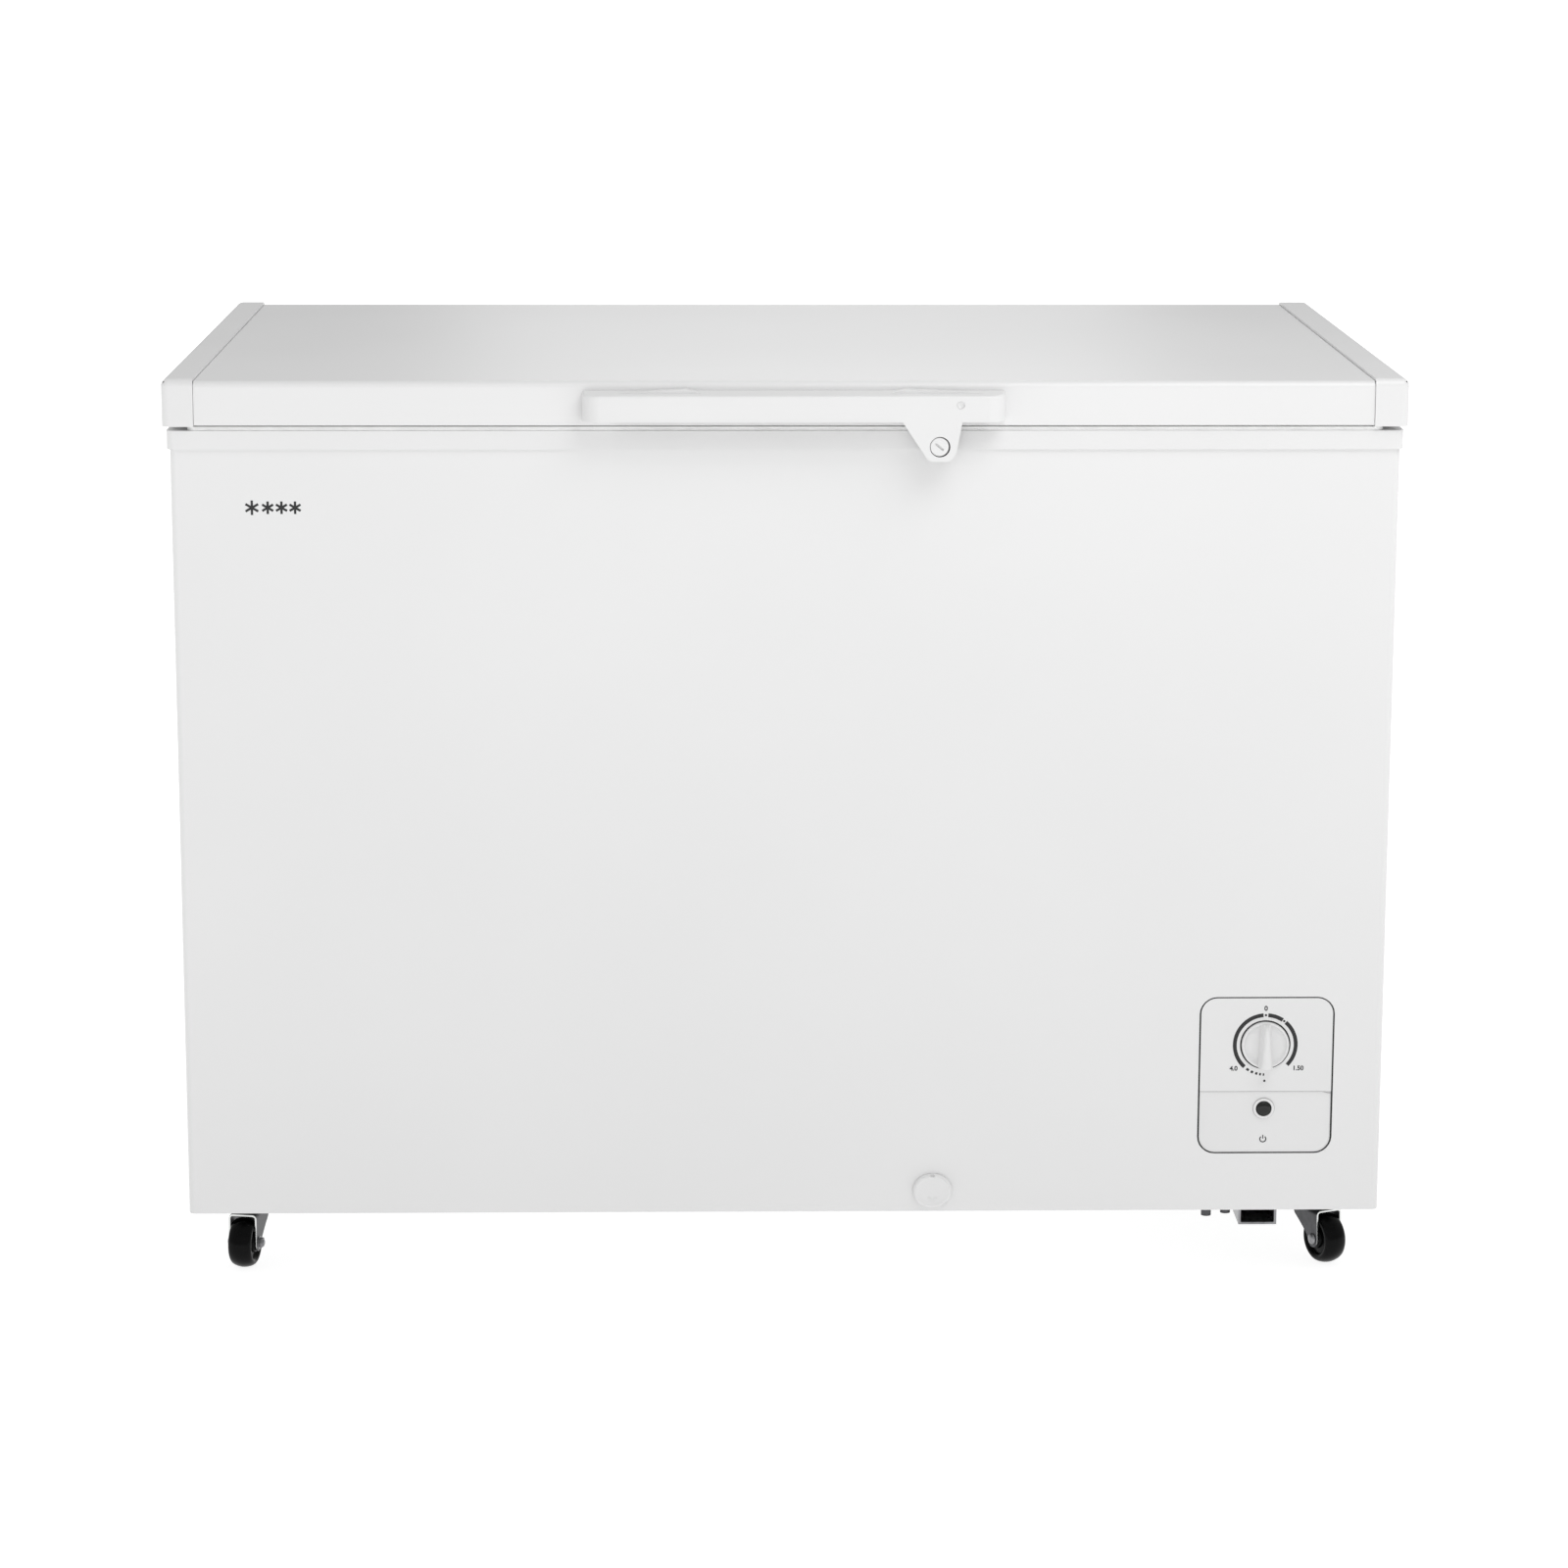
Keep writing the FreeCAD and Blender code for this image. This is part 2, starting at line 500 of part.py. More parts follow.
# ---------------------------------------------------------------- controls
def controls():
    """Control panel with the thermostat, its knob and the lamp's lens."""
    right, top = "panel_left + panel_width", "panel_bottom + panel_height"
    face = box("panel_face", ("panel_left", right), ("shell_front - 0.2", "shell_front + 3"),
               ("panel_bottom", top))
    face = rounded("panel_face_round", face, S["panel_round"], lambda edge: along(edge, "y"))
    back = box("panel_back", ("panel_left - 6", f"{right} + 6"),
               ("shell_front + 1.1", "shell_front + 3.4"), ("panel_bottom - 6", f"{top} + 6"))
    recess = rod("panel_dial", "dial_recess", "dial_x", "shell_front - 2", "dial_z", "3.6", (0, 1, 0))
    shaft = rod("panel_shaft", "spindle + 2", "dial_x", "shell_front - 2", "dial_z", "9", (0, 1, 0))
    lamp = rod("panel_lamp", "lamp_radius + 0.1", "dial_x", "shell_front - 3", "lamp_z", "9",
               (0, 1, 0))
    bezel = rod("panel_bezel", "lamp_ring", "dial_x", "shell_front - 0.9", "lamp_z", "3", (0, 1, 0))
    lower = box("panel_lower", ("panel_left - 1", f"{right} + 1"),
                ("shell_front - 1", "shell_front + 0.5"), ("panel_bottom - 1", "185.6"))
    solid = fuse("panel_solid", [cut("panel_stepped", fuse("panel_plates", [face, back]), [lower]),
                                 bezel])
    piece(cut("panel", solid, [recess, shaft, lamp]), "control_panel")
    case = box("thermostat_case", ("dial_x - 20", "dial_x + 20"),
               ("shell_front + 6", "shell_front + 34"), ("dial_z - 22", "dial_z + 22"))
    bush = rod("thermostat_bush", "spindle + 1.8", "dial_x", "shell_front + 2", "dial_z", "6",
               (0, 1, 0))
    bore = rod("thermostat_bore", "spindle + running_gap", "dial_x", "shell_front + 1", "dial_z",
               "18", (0, 1, 0))
    piece(cut("thermostat_body", fuse("thermostat_solid", [case, bush]), [bore]), "thermostat")
    disc = rod("knob_disc", "knob_radius", "dial_x", "shell_front - 2.6", "dial_z", "3.8", (0, 1, 0))
    disc = rounded("knob_disc_round", disc, 1, lambda edge: edge.Curve.TypeId == "Part::GeomCircle"
                   and edge.CenterOfMass.y < S["shell_front"] - 1)
    points = [("dial_x - 4.5", "dial_z + knob_radius - 1.5"),
              ("dial_x + 4.5", "dial_z + knob_radius - 1.5"),
              ("dial_x + 7", "dial_z - knob_radius + 2.5"),
              ("dial_x - 7", "dial_z - knob_radius + 2.5")]
    grip = padded("knob_grip", "XZ", points, "shell_front - 14", "shell_front - 2")
    stem = rod("knob_stem", "spindle", "dial_x", "shell_front + 1", "dial_z", "15", (0, 1, 0))
    piece(fuse("knob", [disc, grip, stem]), "temperature_knob")
    glass = rod("lens_body", "lamp_radius", "dial_x", "shell_front - 2.2", "lamp_z", "7", (0, 1, 0))
    piece(rounded("lens", glass, 1.6, lambda edge: edge.Curve.TypeId == "Part::GeomCircle"
                  and edge.CenterOfMass.y < S["shell_front"]), "lamp_lens")


def drain():
    """Defrost drain: elbow pipe under the tank, outside plug and inside stopper."""
    front = S["shell_front"] + 0.2
    runs = [(S["drain_x"], front, S["drain_z"]), (S["drain_x"], S["drain_floor_y"], S["drain_z"]),
            (S["drain_x"], S["drain_floor_y"], S["liner_floor"] - 0.2)]
    piece(tube("pipe", runs, S["drain_outer"], 16, S["drain_bore"]), "drain_pipe")
    disc = rod("plug_disc", "drain_disc", "drain_x", "shell_front - 5.5", "drain_z", "5.2", (0, 1, 0))
    disc = rounded("plug_round", disc, 3.5, lambda edge: edge.Curve.TypeId == "Part::GeomCircle"
                   and edge.CenterOfMass.y < S["shell_front"] - 2)
    stem = rod("plug_stem", "drain_bore - running_gap", "drain_x", "shell_front - 1", "drain_z", "26",
               (0, 1, 0))
    piece(fuse("plug", [disc, stem]), "drain_plug")
    cap = rod("stopper_cap", "14", "drain_x", "drain_floor_y", "liner_floor + clear_gap", "4")
    stem = rod("stopper_stem", "drain_bore - running_gap", "drain_x", "drain_floor_y",
               "liner_floor - 12", "14")
    piece(fuse("stopper", [cap, stem]), "drain_stopper")


def basket():
    """Hanging basket: its outer shape as a thin tray, with four hangers on the ledge."""
    outer = box("basket_block", ("basket_left", "basket_right"), ("basket_front", "basket_back"),
                ("basket_low", "basket_rim"))
    inner = box("basket_room", ("basket_left + basket_wall", "basket_right - basket_wall"),
                ("basket_front + basket_wall", "basket_back - basket_wall"),
                ("basket_low + basket_wall", "basket_rim + 5"))
    parts = [cut("basket_tray", outer, [inner])]
    for side, (wall, tip) in enumerate((("basket_front", "well_front + 2"),
                                        ("basket_back", "well_back - 2"))):
        for end, x in enumerate(("basket_left + 30", "basket_right - 42")):
            low, high = (tip, f"{wall} + 5") if side == 0 else (f"{wall} - 5", tip)
            parts.append(box(f"hanger_arm_{side}_{end}", (x, f"{x} + 12"), (low, high),
                             ("ledge_top + clear_gap", "ledge_top + 4.3")))
            low, high = (wall, f"{wall} + 5") if side == 0 else (f"{wall} - 5", wall)
            parts.append(box(f"hanger_leg_{side}_{end}", (x, f"{x} + 12"), (low, high),
                             ("basket_rim - 30", "ledge_top + 4.3")))
    piece(fuse("basket", parts), "storage_basket")


def lock():
    """Lock cylinder and cam in the handle's tab, and the strike on the cabinet's rim."""
    barrel = rod("lock_barrel", "lock_radius", "lock_x", "handle_front - 0.4", "lock_z",
                 "tab_back - handle_front + 0.4", (0, 1, 0))
    stub = rod("lock_stub", "4", "lock_x", "tab_back - 1", "lock_z", "1.4", (0, 1, 0))
    key = doc.addObject("Part::Box", "lock_key_slot")
    bind(key, Length="9", Width="7", Height="1.8")
    turn = FreeCAD.Rotation(V(0, 1, 0), 40)
    corner = V(S["lock_x"], S["handle_front"] - 2, S["lock_z"]) + turn.multVec(V(-4.5, 0, -0.9))
    key.Placement = FreeCAD.Placement(corner, turn)
    piece(cut("lock_body", fuse("lock_solid", [barrel, stub]), [key]), "lock_cylinder")
    piece(box("cam", ("lock_x - 3.5", "lock_x + 3.5"), ("tab_back + 0.4", "tab_back + 3.9"),
              ("lock_z - 11", "lock_z + 4")), "lock_cam")
    across = ("lock_x + strike_left", "lock_x + strike_left + strike_width")
    foot = box("strike_foot", across, ("frame_front - 1.6", "frame_front"),
               ("frame_bottom + 1", "frame_top - 2"))
    hook = box("strike_hook", across, ("tab_back + 1", "frame_front"),
               ("frame_top - 6", "frame_top - 2"))
    piece(fuse("strike", [foot, hook]), "lock_strike")


# ---------------------------------------------------------------- lid
def lid():
    """Lid: folded sheet, two moulded end caps, foam, inner liner, magnetic seal."""
    def top_edge(edge):
        return along(edge, "x") and edge.CenterOfMass.z > S["lid_top"] - 10
    left, right = "-lid_half + cap_width - 2", "lid_half - cap_width"
    y = ("lid_front + panel_inset", "lid_back - panel_inset")
    outer = box("panel_block", (left, right), y, ("lid_flange_low", "lid_top - panel_drop"))
    outer = rounded("panel_outside", outer, 6, top_edge)
    inner = box("panel_room", (f"{left} - 1", f"{right} + 1"),
                ("lid_front + panel_inset + sheet", "lid_back - panel_inset - sheet"),
                ("lid_flange_low - 1", "lid_top - panel_drop - sheet"))
    inner = rounded("panel_inside", inner, 6 - S["sheet"], top_edge)
    piece(cut("panel_sheet", outer, [inner]), "lid_panel")
    for side, (low, high, wall_low, wall_high) in {
            "left": ("-lid_half", f"{left} - 0.2", "-lid_half + cap_wall", f"{left} + 1"),
            "right": (f"{right} + 0.2", "lid_half", f"{right} - 1", "lid_half - cap_wall")}.items():
        block = box(f"cap_block_{side}", (low, high), ("lid_front", "lid_back"),
                    ("lid_bottom", "lid_top"))
        end = -S["lid_half"] if side == "left" else S["lid_half"]
        joint = S["lid_half"] - S["cap_width"]

        def outside(edge, end=end, joint=joint):
            place = edge.CenterOfMass
            return (abs(place.x) > joint + 4 and place.z > S["lid_bottom"] + 1) or (
                along(edge, "x") and place.z > S["lid_bottom"] + 1)
        block = rounded(f"cap_round_{side}", block, S["cap_round"], outside)
        room = box(f"cap_room_{side}", (wall_low, wall_high),
                   ("lid_front + cap_wall", "lid_back - cap_wall"),
                   ("lid_bottom + cap_wall", "lid_top - cap_wall"))
        piece(cut(f"cap_{side}", block, [room]), f"lid_end_cap_{side}")
    flange = box("liner_flange", (f"{left} + 2", f"{right} - 2"), ("lid_front + 4", "lid_back - 4"),
                 ("lid_flange_low", "lid_flange_low + lid_liner_wall"))
    dish = box("liner_plug", ("-plug_half", "plug_half"), ("plug_front", "plug_back"),
               ("plug_bottom", "lid_flange_low + 1"))
    room = box("liner_plug_room", ("-plug_half + lid_liner_wall", "plug_half - lid_liner_wall"),
               ("plug_front + lid_liner_wall", "plug_back - lid_liner_wall"),
               ("plug_bottom + lid_liner_wall", "lid_flange_low + 9"))
    piece(cut("lid_inside", fuse("lid_inside_solid", [flange, dish]), [room]), "lid_liner")
    slab = box("lid_slab", (f"{left} + 3", f"{right} - 3"), ("lid_front + 4", "lid_back - 4"),
               ("lid_flange_low + lid_liner_wall + 0.2", "lid_top - panel_drop - 1.2"))
    slab = rounded("lid_slab_round", slab, 6, top_edge)
    core = box("lid_core", ("-plug_half + lid_liner_wall + 0.3", "plug_half - lid_liner_wall - 0.3"),
               ("plug_front + lid_liner_wall + 0.3", "plug_back - lid_liner_wall - 0.3"),
               ("plug_bottom + lid_liner_wall + 0.3", "lid_flange_low + 9"))
    piece(fuse("lid_filling", [slab, core]), "lid_foam")
    seal = ring("seal_flat", "seal_half", "seal_front", "seal_back", "seal_bottom",
                "lid_bottom - 0.3", "seal_width")
    dart = ring("seal_dart", "seal_half - 14", "seal_front + 14", "seal_back - 14",
                "lid_bottom - 1", "lid_flange_low", "6")
    piece(fuse("seal", [seal, dart]), "lid_gasket")


def handle():
    """Pull bar open from below, with the lock's tab hanging in front of the rim."""
    lid_face = "lid_front + panel_inset - 0.2"
    points = [("handle_front", "handle_bottom"), (lid_face, "handle_bottom"),
              (lid_face, "handle_top"), ("handle_front", "handle_top - handle_slope")]
    block = padded("bar_block", "YZ", points, "handle_left", "handle_right")

    def end_edge(edge):
        return along(edge, "z") and edge.CenterOfMass.y < S["handle_front"] + 5
    bar = rounded("bar_ends", block, 17, end_edge)

    def front_edge(edge):
        place = edge.CenterOfMass
        return place.z > S["handle_top"] - 5 and place.y < S["lid_front"] - 2 and not along(edge, "y")
    bar = rounded("bar_top", bar, 2.5, front_edge)
    pads = []
    for number, (start, peak, end) in enumerate(((-152, -90, -76), (92, 106, 177))):
        points = [(str(start), "handle_top - 5"), (str(end), "handle_top - 5"),
                  (str(end), "handle_top - 1.4"), (str(peak), "handle_top + pad_rise"),
                  (str(start), "handle_top - 1.4")]
        pads.append(padded(f"bar_pad_{number}", "XZ", points, "handle_front + 10", lid_face))
    inside = ("handle_bottom - 2", "handle_top - handle_wall - handle_slope")
    grip = box("bar_grip", ("handle_left + 30", "lock_x - 42"),
               ("handle_front + handle_wall", "lid_front + 9"), inside)
    hollow = box("bar_hollow", ("lock_x + 28", "handle_right - 14"),
                 ("handle_front + handle_wall", "lid_front + 9"), inside)
    points = [("lock_x - tab_half_top - 6", "handle_bottom + 1"),
              ("lock_x - tab_half_low", "lock_z - 6"),
              ("lock_x - tab_half_low + 5", "lock_z - 13.3"),
              ("lock_x + tab_half_low - 5", "lock_z - 13.3"),
              ("lock_x + tab_half_low", "lock_z - 6"),
              ("lock_x + tab_half_top - 8", "handle_bottom + 1")]
    tab = padded("bar_tab", "XZ", points, "handle_front", "tab_back")
    tab = rounded("bar_tab_round", tab, 7, lambda edge: along(edge, "y")
                  and edge.CenterOfMass.z < S["lock_z"] - 10)
    bore = rod("bar_lock_bore", "lock_radius + running_gap", "lock_x", "handle_front - 5", "lock_z",
               "40", (0, 1, 0))
    cap = rod("bar_cap_seat", "3.6", "lock_x + 18.3", "handle_front - 2", "screw_cap_z", "5",
              (0, 1, 0))
    piece(cut("bar", fuse("bar_solid", [bar, tab] + pads), [grip, hollow, bore, cap]), "lid_handle")
    piece(rod("screw_cap", "3.5", "lock_x + 18.3", "handle_front + 0.6", "screw_cap_z", "2.2",
              (0, 1, 0)), "handle_screw_cap")
    screws = []
    for number, x in enumerate(("handle_left + 15", "lock_x - 38", "lock_x + 24")):
        screws.append(rod(f"bar_screw_{number}", "4", x, "lid_front + panel_inset + sheet", "827",
                          "1.6", (0, 1, 0)))
    return screws


# ---------------------------------------------------------------- hinges
def hinges():
    """Two sprung lift hinges: housing, leaf with lobe, pin, plunger and spring."""
    made = {"hinge_housings": [], "hinge_leaves": [], "hinge_pins": [], "hinge_plungers": [],
            "hinge_springs": []}
    for side, sign in (("left", -1), ("right", 1)):
        x = f"hinge_x * {sign}"

        def across(low, high, x=x):
            return (f"{x} + ({low})", f"{x} + ({high})")
        plate = box(f"hinge_plate_{side}", across("-ear_out", "ear_out"),
                    ("shell_back + 0.1", "frame_back + 0.5"), ("housing_low", "frame_bottom - 1"))
        walls = [plate]
        for number, (low, high) in enumerate((("-ear_out", "-ear_in"), ("ear_in", "ear_out"))):
            walls.append(box(f"hinge_wall_{side}_{number}", across(low, high),
                             ("frame_back + 0.5", "pivot_y + ear_radius"),
                             ("housing_low", "pivot_z")))
            walls.append(rod(f"hinge_ear_{side}_{number}", "ear_radius", across(low, high)[0],
                             "pivot_y", "pivot_z", f"{high} - ({low})", (1, 0, 0)))
        walls.append(box(f"hinge_rear_{side}", across("-ear_out", "ear_out"),
                         ("pivot_y + ear_radius - 2", "pivot_y + ear_radius"),
                         ("housing_low", "plunger_top - 10")))
        walls.append(box(f"hinge_floor_{side}", across("-ear_out", "ear_out"),
                         ("frame_back", "pivot_y + ear_radius"), ("housing_low", "housing_low + 2")))
        bore = rod(f"hinge_bore_{side}", "pin_radius + running_gap", across("-30", "0")[0],
                   "pivot_y", "pivot_z", "60", (1, 0, 0))
        made["hinge_housings"].append(cut(f"housing_{side}", fuse(f"housing_solid_{side}", walls),
                                          [bore]))
        inside = across("-leaf_half", "leaf_half")
        flap = box(f"leaf_flap_{side}", inside, ("seal_back + 3", "pivot_y"),
                   ("lid_bottom - 1.8", "lid_flange_low - 0.2"))
        web = box(f"leaf_web_{side}", inside, ("pivot_y - knuckle_radius", "pivot_y - 2"),
                  ("pivot_z", "lid_flange_low - 0.2"))
        knuckle = rod(f"leaf_knuckle_{side}", "knuckle_radius", inside[0], "pivot_y", "pivot_z",
                      "leaf_half * 2", (1, 0, 0))
        lobe = rod(f"leaf_lobe_{side}", "4", inside[0], "pivot_y - 4.5", "pivot_z - 7.79",
                   "leaf_half * 2", (1, 0, 0))
        leaf = fuse(f"leaf_solid_{side}", [flap, web, knuckle, lobe])
        bore = rod(f"leaf_bore_{side}", "pin_radius + running_gap", across("-30", "0")[0],
                   "pivot_y", "pivot_z", "60", (1, 0, 0))
        made["hinge_leaves"].append(cut(f"leaf_{side}", leaf, [bore]))
        shaft = rod(f"pin_shaft_{side}", "pin_radius", across("-ear_out - 1", "0")[0], "pivot_y",
                    "pivot_z", "ear_out * 2 + 2", (1, 0, 0))
        heads = [rod(f"pin_head_{side}_{end}", "pin_radius + 2", across(low, "0")[0], "pivot_y",
                     "pivot_z", "1.5", (1, 0, 0))
                 for end, low in enumerate(("-ear_out - 1.7", "ear_out + 0.2"))]
        made["hinge_pins"].append(fuse(f"pin_{side}", [shaft] + heads))
        made["hinge_plungers"].append(rod(f"plunger_{side}", "plunger_radius", x, "pivot_y - 2",
                                          "spring_high", "plunger_top - spring_high"))
        coil = rod(f"spring_{side}", "plunger_radius - 0.5", x, "pivot_y - 2", "spring_low",
                   "spring_high - spring_low - 0.2")
        core = rod(f"spring_core_{side}", "plunger_radius - 2.5", x, "pivot_y - 2",
                   "spring_low - 1", "spring_high - spring_low + 5")
        made["hinge_springs"].append(cut(f"spring_coil_{side}", coil, [core]))
    for label, solids in made.items():
        piece(group(label + "_set", solids), label)


# ---------------------------------------------------------------- casters
def casters():
    """Four swivel casters: bolted plate with kingpin, pressed fork, axle and wheel."""
    mounts, bolts = [], []
    for name, (side, end, angle) in CORNERS.items():
        x, y = f"kingpin_x * {side}", f"kingpin_y * {end}"
        plate = box(f"plate_{name}", (f"{x} - 28", f"{x} + 28"), (f"{y} - 26", f"{y} + 26"),
                    ("plate_low", "shell_bottom - 0.1"))
        boss = rod(f"boss_{name}", "9", x, y, "boss_low", "plate_low - boss_low + 1")
        pin = rod(f"kingpin_{name}", "kingpin_radius", x, y, "race_low - 4", "14")
        head = rod(f"kingpin_head_{name}", "kingpin_radius + 2.5", x, y, "race_low - 5.3", "2.5")
        mounts.append(fuse(f"mount_{name}", [plate, boss, pin, head]))
        for number, (a, b) in enumerate(FEET):
            bolts.append(hexagon(f"plate_bolt_{name}_{number}", "4.6", f"{x} + {22 * a}",
                                 f"{y} + {19.5 * b}", "plate_low - 3.4", "3.2"))
        fork_of(name, side, end, angle)
    piece(group("mount_set", mounts), "caster_mounts")
    piece(group("plate_bolts", bolts), "caster_bolts")


def fork_of(name, side, end, angle):
    """One fork, axle and wheel, built about its own kingpin and then put in its corner."""
    place = FreeCAD.Placement(V(S["kingpin_x"] * side, S["kingpin_y"] * end, 0),
                              FreeCAD.Rotation(V(0, 0, 1), angle))
    race = rod(f"race_{name}", "race_radius", "0", "0", "race_low", "plate_low - race_low - 6.5")
    race = rounded(f"race_round_{name}", race, 2.5,
                   lambda edge: edge.Curve.TypeId == "Part::GeomCircle"
                   and edge.CenterOfMass.z > S["race_low"] + 2)
    front = "-trail - eye_radius"
    parts = [race, box(f"fork_top_{name}", ("-leg_out", "leg_out"), (front, "race_radius - 4"),
                       ("race_low", "race_low + 2.5"))]
    points = [(front, "wheel_radius"), ("-trail + eye_radius", "wheel_radius"),
              ("race_radius - 4", "race_low - 9"), ("race_radius - 4", "race_low + 2.5"),
              (front, "race_low + 2.5")]
    for number, (low, high) in enumerate((("-leg_out", "-leg_in"), ("leg_in", "leg_out"))):
        parts.append(padded(f"leg_{name}_{number}", "YZ", points, low, high))
        parts.append(rod(f"leg_eye_{name}_{number}", "eye_radius", low, "-trail", "wheel_radius",
                         f"{high} - ({low})", (1, 0, 0)))
    hole = rod(f"fork_hole_{name}", "kingpin_radius + running_gap", "0", "0", "race_low - 5", "20")
    eye = rod(f"fork_axle_hole_{name}", "axle_radius - 1", "-20", "-trail", "wheel_radius", "40",
              (1, 0, 0))
    room = rod(f"fork_head_room_{name}", "leg_in - 0.6", "0", "0", "race_low - 9", "8.9")
    fork = piece(cut(f"fork_{name}", fuse(f"fork_solid_{name}", parts), [hole, eye, room]),
                 f"caster_fork_{name}")
    shaft = rod(f"axle_shaft_{name}", "axle_radius", "-leg_in + 0.1", "-trail", "wheel_radius",
                "leg_in * 2 - 0.2", (1, 0, 0))
    ends = rod(f"axle_ends_{name}", "axle_radius - 1", "-leg_out - 1", "-trail", "wheel_radius",
               "leg_out * 2 + 2", (1, 0, 0))
    heads = [rod(f"axle_head_{name}_{number}", "axle_radius + 1.2", low, "-trail", "wheel_radius",
                 "1.2", (1, 0, 0)) for number, low in enumerate(("-leg_out - 1.3", "leg_out + 0.1"))]
    axle = piece(fuse(f"axle_{name}", [shaft, ends] + heads), f"caster_axle_{name}")
    half = "wheel_width / 2"
    bore = "axle_radius + running_gap"
    points = [(bore, f"-{half}"), ("wheel_radius - 4", f"-{half}"),
              ("wheel_radius - 1.2", f"-{half} + 1.4"), ("wheel_radius", f"-{half} + 4.5"),
              ("wheel_radius", f"{half} - 4.5"), ("wheel_radius - 1.2", f"{half} - 1.4"),
              ("wheel_radius - 4", half), (bore, half)]
    wheel = piece(turned(f"wheel_{name}", points), f"caster_wheel_{name}")
    for item in (fork, axle):
        item.Placement = place
    upright = FreeCAD.Placement(V(0, -S["trail"], S["wheel_radius"]),
                                FreeCAD.Rotation(V(0, 0, 1), V(1, 0, 0)))
    wheel.Placement = place.multiply(upright)


def screws(handle_screws):
    """Small screws: covers at the back, the edge of the base, and the handle's own."""
    heads = []
    for number, (x, z) in enumerate(((315, 90), (540, 90), (315, 320), (540, 320))):
        heads.append(rod(f"cover_screw_{number}", "4", str(x), "shell_back + 2.3", str(z), "2",
                         (0, 1, 0)))
    for number, (x, y) in enumerate(((545, -318), (-545, -318), (545, 318), (-545, 318))):
        heads.append(rod(f"base_screw_{number}", "3.5", str(x), str(y), "shell_bottom - 2.2", "2"))
    piece(group("cabinet_screw_set", heads), "cabinet_screws")
    piece(group("lid_screw_set", handle_screws), "lid_screws")


outer_shell()
back_and_base()
liner()
top_frame()
coils()
compressor()
bay_metal()
covers()
controls()
drain()
basket()
lock()
lid()
handle_screws = handle()
hinges()
casters()
screws(handle_screws)
doc.recompute()

faults = [item.Name for item in doc.Objects if "Invalid" in item.State or "Error" in item.State]
faults += [item.Label for item in sub_parts if item.Shape.isNull() or not item.Shape.isValid()]
if faults:
    raise RuntimeError("failed objects: " + ", ".join(faults))
os.makedirs("parts", exist_ok=True)
for item in sub_parts:
    item.Shape.exportStep(f"parts/{item.Label}.step")
print(len(sub_parts), "sub-parts written")
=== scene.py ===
"""Looks of the chest freezer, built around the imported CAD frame. Metres, +X right, -Y front, +Z up."""

import json
import math

import bmesh
import bpy
from mathutils import Matrix, Vector


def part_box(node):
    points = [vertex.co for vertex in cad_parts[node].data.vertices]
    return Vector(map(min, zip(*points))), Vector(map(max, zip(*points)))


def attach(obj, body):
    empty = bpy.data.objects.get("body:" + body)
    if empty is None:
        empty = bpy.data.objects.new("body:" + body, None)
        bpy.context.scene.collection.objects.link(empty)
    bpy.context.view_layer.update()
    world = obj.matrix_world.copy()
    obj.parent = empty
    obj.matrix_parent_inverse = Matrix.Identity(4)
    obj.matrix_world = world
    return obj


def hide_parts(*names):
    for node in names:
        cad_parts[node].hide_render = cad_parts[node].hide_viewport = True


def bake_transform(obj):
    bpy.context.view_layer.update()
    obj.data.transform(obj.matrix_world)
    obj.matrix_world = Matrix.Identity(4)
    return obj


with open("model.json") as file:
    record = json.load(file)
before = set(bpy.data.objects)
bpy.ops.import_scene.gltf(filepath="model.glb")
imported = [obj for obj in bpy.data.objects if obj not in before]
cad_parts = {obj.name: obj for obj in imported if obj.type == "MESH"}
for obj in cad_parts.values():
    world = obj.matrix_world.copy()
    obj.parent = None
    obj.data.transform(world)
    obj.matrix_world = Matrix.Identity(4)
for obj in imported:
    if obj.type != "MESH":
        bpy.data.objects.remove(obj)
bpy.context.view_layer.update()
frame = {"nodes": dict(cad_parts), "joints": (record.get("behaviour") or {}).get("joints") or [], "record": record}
MM = 0.001


# ---------------------------------------------------------------- camera, light and floor
def camera():
    """A long lens in front of the freezer, a little left of its middle and looking slightly down."""
    pitch, yaw, roll = 0.2074, -0.0197, 0.0021
    stand = (-0.0804, -4.3304, 1.3194)
    right = Vector((math.cos(yaw), math.sin(yaw), 0))
    ahead = Vector((-math.sin(yaw) * math.cos(pitch), math.cos(yaw) * math.cos(pitch),
                    -math.sin(pitch)))
    up = right.cross(ahead)
    turned_right = math.cos(roll) * right + math.sin(roll) * up
    turned_up = math.cos(roll) * up - math.sin(roll) * right
    data = bpy.data.cameras.new("camera")
    data.lens = 102.67
    data.sensor_width = 36
    item = bpy.data.objects.new("camera", data)
    place = Matrix((turned_right, turned_up, -ahead)).transposed().to_4x4()
    place.translation = stand
    item.matrix_world = place
    bpy.context.scene.collection.objects.link(item)
    bpy.context.scene.camera = item


def area_light(name, place, aim, size, energy):
    """A rectangular soft box at place, turned towards aim."""
    data = bpy.data.lights.new(name, "AREA")
    data.shape = "RECTANGLE"
    data.size, data.size_y = size
    data.energy = energy
    item = bpy.data.objects.new(name, data)
    item.location = place
    item.rotation_euler = (Vector(aim) - Vector(place)).to_track_quat("-Z", "Y").to_euler()
    bpy.context.scene.collection.objects.link(item)


